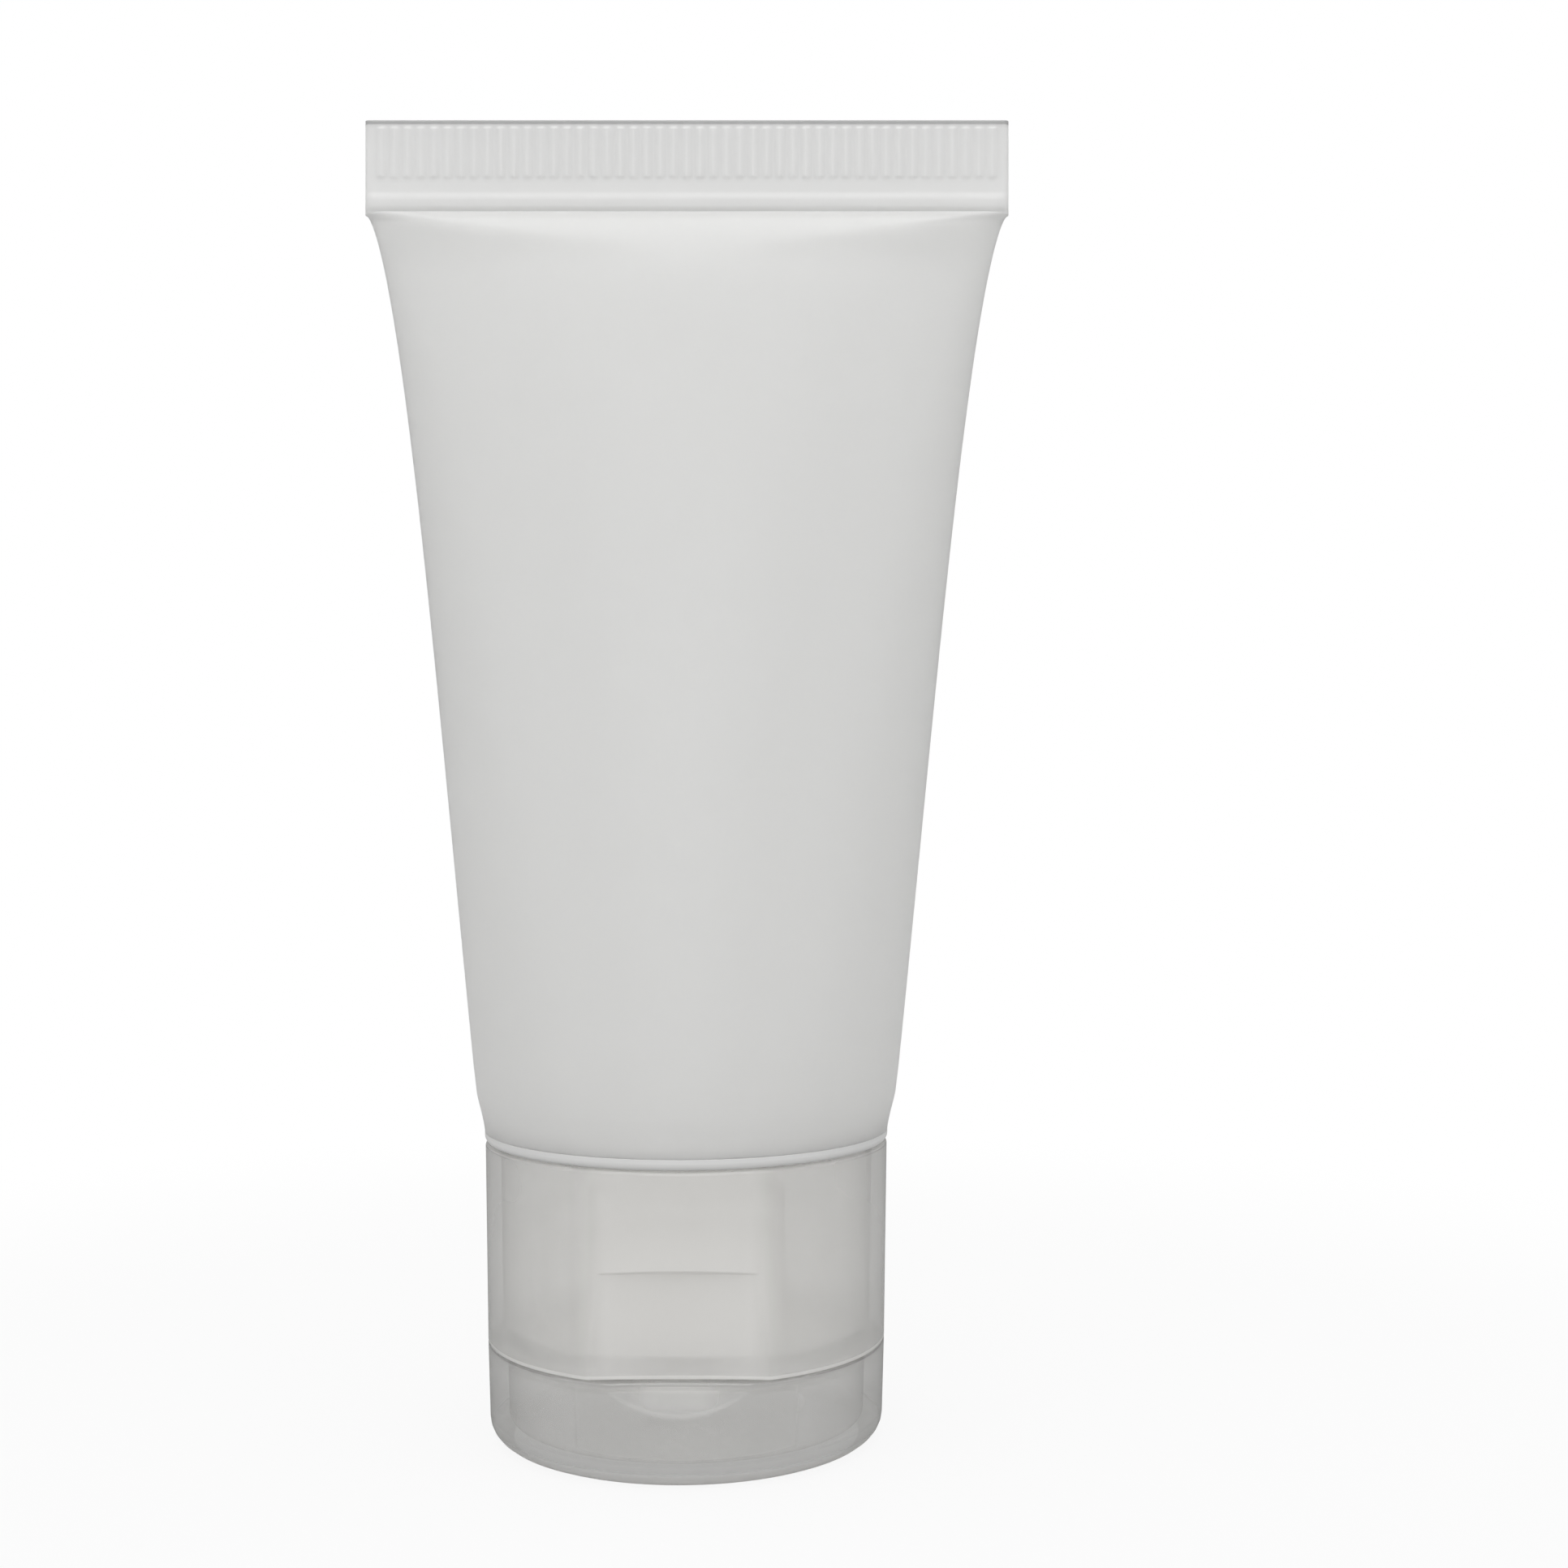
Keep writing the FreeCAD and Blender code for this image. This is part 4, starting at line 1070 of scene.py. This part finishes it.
class TUBE_OT_cap(bpy.types.Operator):
    """Builds the screw cap with its socket, seal ring, spout and thumb scoop"""

    bl_idname = "squeeze_tube.cap"
    bl_label = "Build cap"

    def execute(self, context):
        tube = settings_of(context)
        cap, scoop = tube.cap, tube.scoop
        tip, top, deck = CAP_LOW.z, CAP_HIGH.z, PARTING + cap.deck
        socket_outer = cap.socket_radius + cap.socket_wall
        land_inner = cap.land_outer - cap.land_width
        land_tip = PARTING - cap.land_height
        ring_inner = cap.ring_radius - cap.ring_wall
        ring_top = HEAD_LOW.z + cap.ring_reach
        lip = PARTING + scoop.height
        flat_top = PARTING + tube.hinge.flat_half_height
        backing_top = lip + scoop.wall
        backing_end = backing_top + scoop.fade
        coarse, fine = 0.6 * MM, 0.07 * MM

        def outside(height, step):
            return cap_outside(height), height, 0.0, step

        def inside(height, step):
            return cap_inside(cap, height), height, 0.0, step

        outline = rounded_outline([
            (cap.orifice, tip, 0.25 * MM, 0.3 * MM),
            (cap.spout_tip, tip, 0.3 * MM, 0.4 * MM),
            (cap.spout_base, PARTING, 0.3 * MM, 0.9 * MM),
            (land_inner, PARTING, 0.1 * MM, coarse),
            (land_inner, land_tip, 0.2 * MM, 0.3 * MM),
            (cap.land_outer, land_tip, 0.2 * MM, coarse),
            (cap.land_outer, PARTING, 0.05 * MM, 0.3 * MM),
            (PARTING_RADIUS, PARTING, 0.08 * MM, 0.35 * MM),
            outside(flat_top - 0.15 * MM, 0.05 * MM),
            outside(flat_top + 0.05 * MM, 0.4 * MM),
            outside(lip - scoop.lip - 0.2 * MM, fine),
            outside(lip + 0.3 * MM, 0.4 * MM),
            (CAP_RIM, top, 0.2 * MM, 0.4 * MM),
            (CAP_RIM - cap.wall, top, 0.2 * MM, coarse),
            inside(backing_end, 0.1 * MM),
            inside(backing_top, coarse),
            (PARTING_RADIUS - cap.wall, deck, 0.25 * MM, coarse),
            (socket_outer, deck, 0.25 * MM, coarse),
            (socket_outer, cap.socket_top, 0.2 * MM, 0.3 * MM),
            (cap.socket_radius, cap.socket_top, 0.2 * MM, 0.12 * MM),
            (cap.socket_radius, deck, 0.25 * MM, 0.5 * MM),
            (cap.ring_radius, deck, 0.15 * MM, coarse),
            (cap.ring_radius, ring_top, 0.25 * MM, 0.3 * MM),
            (ring_inner, ring_top, 0.25 * MM, coarse),
            (ring_inner, deck, 0.2 * MM, 0.4 * MM),
            (cap.orifice, deck, 0.2 * MM, 0.4 * MM),
        ])
        angles = crowded_angles(330, ((FRONT, math.radians(32), 4.0), (BACK, math.radians(22), 1.6)))
        piece = turned_piece(
            "clear_screw_cap", outline, angles,
            lambda radius, height, angle: scooped_cap_radius(tube, radius, height, angle),
        )
        place_piece(piece, cap_material(tube), "cap", "screw_cap")
        return {"FINISHED"}


class TUBE_OT_lid(bpy.types.Operator):
    """Builds the flip lid with its closing pin and thumb notch"""

    bl_idname = "squeeze_tube.lid"
    bl_label = "Build lid"

    def execute(self, context):
        tube = settings_of(context)
        lid, scoop = tube.lid, tube.scoop
        top = LID_HIGH.z
        inside = PARTING_RADIUS - lid.wall
        notch_foot = top - 1.2 * scoop.notch_height
        flat_foot = PARTING - tube.hinge.flat_half_height

        def outside(height, step):
            return lid_outside(lid, height), height, 0.0, step

        outline = rounded_outline([
            (0.0, 0.0, 0.0, 1.2 * MM),
            (PARTING_RADIUS - lid.taper, 0.0, lid.edge, 0.5 * MM),
            outside(flat_foot - 0.05 * MM, 0.05 * MM),
            outside(flat_foot + 0.15 * MM, 0.15 * MM),
            outside(notch_foot, 0.09 * MM),
            (PARTING_RADIUS, top, 0.1 * MM, 0.2 * MM),
            (inside, top, 0.1 * MM, 0.4 * MM),
            (inside - lid.draft, lid.floor, 0.6 * MM, 0.8 * MM),
            (lid.pin_base, lid.floor, 0.4 * MM, 0.5 * MM),
            (lid.pin_tip, lid.pin_top, 0.5 * MM, 0.3 * MM),
            (0.0, lid.pin_top, 0.0, 1.0 * MM),
        ], closed=False)
        angles = crowded_angles(330, ((FRONT, math.radians(26), 3.0), (BACK, math.radians(22), 1.6)))
        piece = turned_piece(
            "clear_flip_lid", outline, angles,
            lambda radius, height, angle: notched_lid_radius(tube, radius, height, angle), poles=True,
        )
        place_piece(piece, cap_material(tube), "lid", "flip_lid")
        return {"FINISHED"}


class TUBE_OT_strap(bpy.types.Operator):
    """Builds the hinge strap, which bends between the cap and the lid"""

    bl_idname = "squeeze_tube.strap"
    bl_label = "Build hinge strap"

    def execute(self, context):
        tube = settings_of(context)
        piece = strap_piece("clear_hinge_strap", tube.hinge)
        place_piece(piece, cap_material(tube), None, "hinge_strap")
        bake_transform(piece)
        return {"FINISHED"}


def softbox(name, place, size, power, target):
    """A square lamp that faces a target."""
    lamp = bpy.data.lights.new(name, "AREA")
    lamp.shape = "SQUARE"
    lamp.size = size
    lamp.energy = power
    light = bpy.data.objects.new(name, lamp)
    light.location = place
    aim = target - np.array(place)
    tilt = math.atan2(math.hypot(aim[0], aim[1]), -aim[2])
    light.rotation_euler = (tilt, 0.0, math.atan2(aim[1], aim[0]) - math.pi / 2)
    return light


class TUBE_OT_stage(bpy.types.Operator):
    """Builds the pale floor, the soft lights and the camera"""

    bl_idname = "squeeze_tube.stage"
    bl_label = "Build stage"

    def execute(self, context):
        stage = settings_of(context).stage
        scene = context.scene
        scene.view_settings.view_transform = "Standard"
        scene.cycles.max_bounces = 24
        scene.cycles.transmission_bounces = 16
        scene.cycles.diffuse_bounces = 10
        scene.cycles.transparent_max_bounces = 24

        half = stage.floor_size / 2
        corners = np.array([[-half, -half, 0], [half, -half, 0], [half, half, 0], [-half, half, 0]])
        floor = mesh_piece("pale_floor", corners, np.array([[0, 1, 2, 3]]))
        floor.data.materials.append(pale_floor(stage))
        scene.world = studio_world(stage)

        target = np.array([0.0, 0.0, stage.aim_height])
        for name, place, size, power in (
            ("softbox_overhead", (0.0, -0.05, 0.6), 0.6, stage.lamp_light),
            ("softbox_front", (-0.03, -0.6, 0.3), 0.5, stage.front_light),
            ("softbox_left", (-0.55, -0.35, 0.25), 0.5, stage.side_light),
            ("softbox_right", (0.55, -0.35, 0.25), 0.5, stage.side_light),
        ):
            scene.collection.objects.link(softbox(name, place, size, power, target))

        lens = bpy.data.cameras.new("front_camera")
        lens.lens = stage.camera_lens
        lens.sensor_width = 36.0
        lens.clip_start = 0.005
        lens.clip_end = 50.0
        camera = bpy.data.objects.new("front_camera", lens)
        camera.location = stage.camera_place
        camera.rotation_euler = (math.radians(90), 0.0, 0.0)
        scene.collection.objects.link(camera)
        scene.camera = camera
        return {"FINISHED"}


class Sight:
    """How the floor or the world is met: seen directly, through clear parts, or mirrored in them. Each is a
    Number that is 1 or 0."""

    def __init__(self, finish):
        path = finish.node("ShaderNodeLightPath")
        camera = Number(finish, path.outputs["Is Camera Ray"])
        glossy = Number(finish, path.outputs["Is Glossy Ray"])
        sent_on = Number(finish, path.outputs["Is Transmission Ray"])
        behind = finish.between(Number(finish, path.outputs["Transparent Depth"]), 0.4, 0.6)
        self.direct = camera * (1 - behind)
        self.through = sent_on + camera * behind
        self.mirrored = glossy * (1 - sent_on)


def pale_floor(stage):
    """White where it is seen, with the object's soft shadow kept in it close to the object."""
    floor = Finish(bpy.data.materials.new("pale floor"))
    sight = Sight(floor)
    paint = floor.node("ShaderNodeBsdfDiffuse", None, {"Color": opaque_colour(stage.floor_tint)})
    glow = floor.node("ShaderNodeEmission", None, {"Color": WHITE, "Strength": 1.0})
    far = floor.between(floor.from_axis(), stage.shadow_near, stage.shadow_far)
    white = stage.floor_white + (1 - stage.floor_white) * far
    shown = white * sight.direct + stage.floor_room * sight.through
    return floor.finish(floor.mix(shown, paint, glow))


def studio_world(stage):
    """An even light, seen as plain white. What shines through the object, or mirrors in it, is the greyer
    room."""
    air = Finish(bpy.data.worlds.new("studio"))
    sight = Sight(air)
    light = stage.world_light
    strength = (
        light + (1 - light) * sight.direct + (stage.room_light - light) * sight.through
        + (stage.mirror_light - light) * sight.mirrored
    )
    sky = air.node("ShaderNodeBackground", None, {"Color": WHITE, "Strength": strength})
    air.node("ShaderNodeOutputWorld", None, {"Surface": sky.outputs[0]})
    return air.owner


class TUBE_PT_sidebar(bpy.types.Panel):
    """Lists the pieces and their settings"""

    bl_idname = "TUBE_PT_sidebar"
    bl_label = "Squeeze tube"
    bl_space_type = "VIEW_3D"
    bl_region_type = "UI"
    bl_category = "Squeeze tube"

    def draw(self, context):
        tube = settings_of(context)
        for group in TubeSettings.__annotations__:
            box = self.layout.box()
            box.label(text=group.capitalize())
            settings = getattr(tube, group)
            for name in settings.__annotations__:
                box.prop(settings, name)
        for operator in BUILD_ORDER:
            self.layout.operator(operator.bl_idname)


BUILD_ORDER = (TUBE_OT_sleeve, TUBE_OT_head, TUBE_OT_cap, TUBE_OT_lid, TUBE_OT_strap, TUBE_OT_stage)
CLASSES = (
    SleeveSettings, HeadSettings, ThreadSettings, CapSettings, ScoopSettings, LidSettings, HingeSettings,
    FilmSettings, PlasticSettings, HazeSettings, StageSettings, TubeSettings, *BUILD_ORDER, TUBE_PT_sidebar,
)


def register():
    for kind in CLASSES:
        bpy.utils.register_class(kind)
    bpy.types.Scene.squeeze_tube = PointerProperty(type=TubeSettings)


def unregister():
    del bpy.types.Scene.squeeze_tube
    for kind in reversed(CLASSES):
        bpy.utils.unregister_class(kind)


def main():
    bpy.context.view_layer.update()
    register()
    for name in ("sleeve", "head", "cap", "lid", "strap", "stage"):
        getattr(bpy.ops.squeeze_tube, name)()


if __name__ == "__main__":
    main()
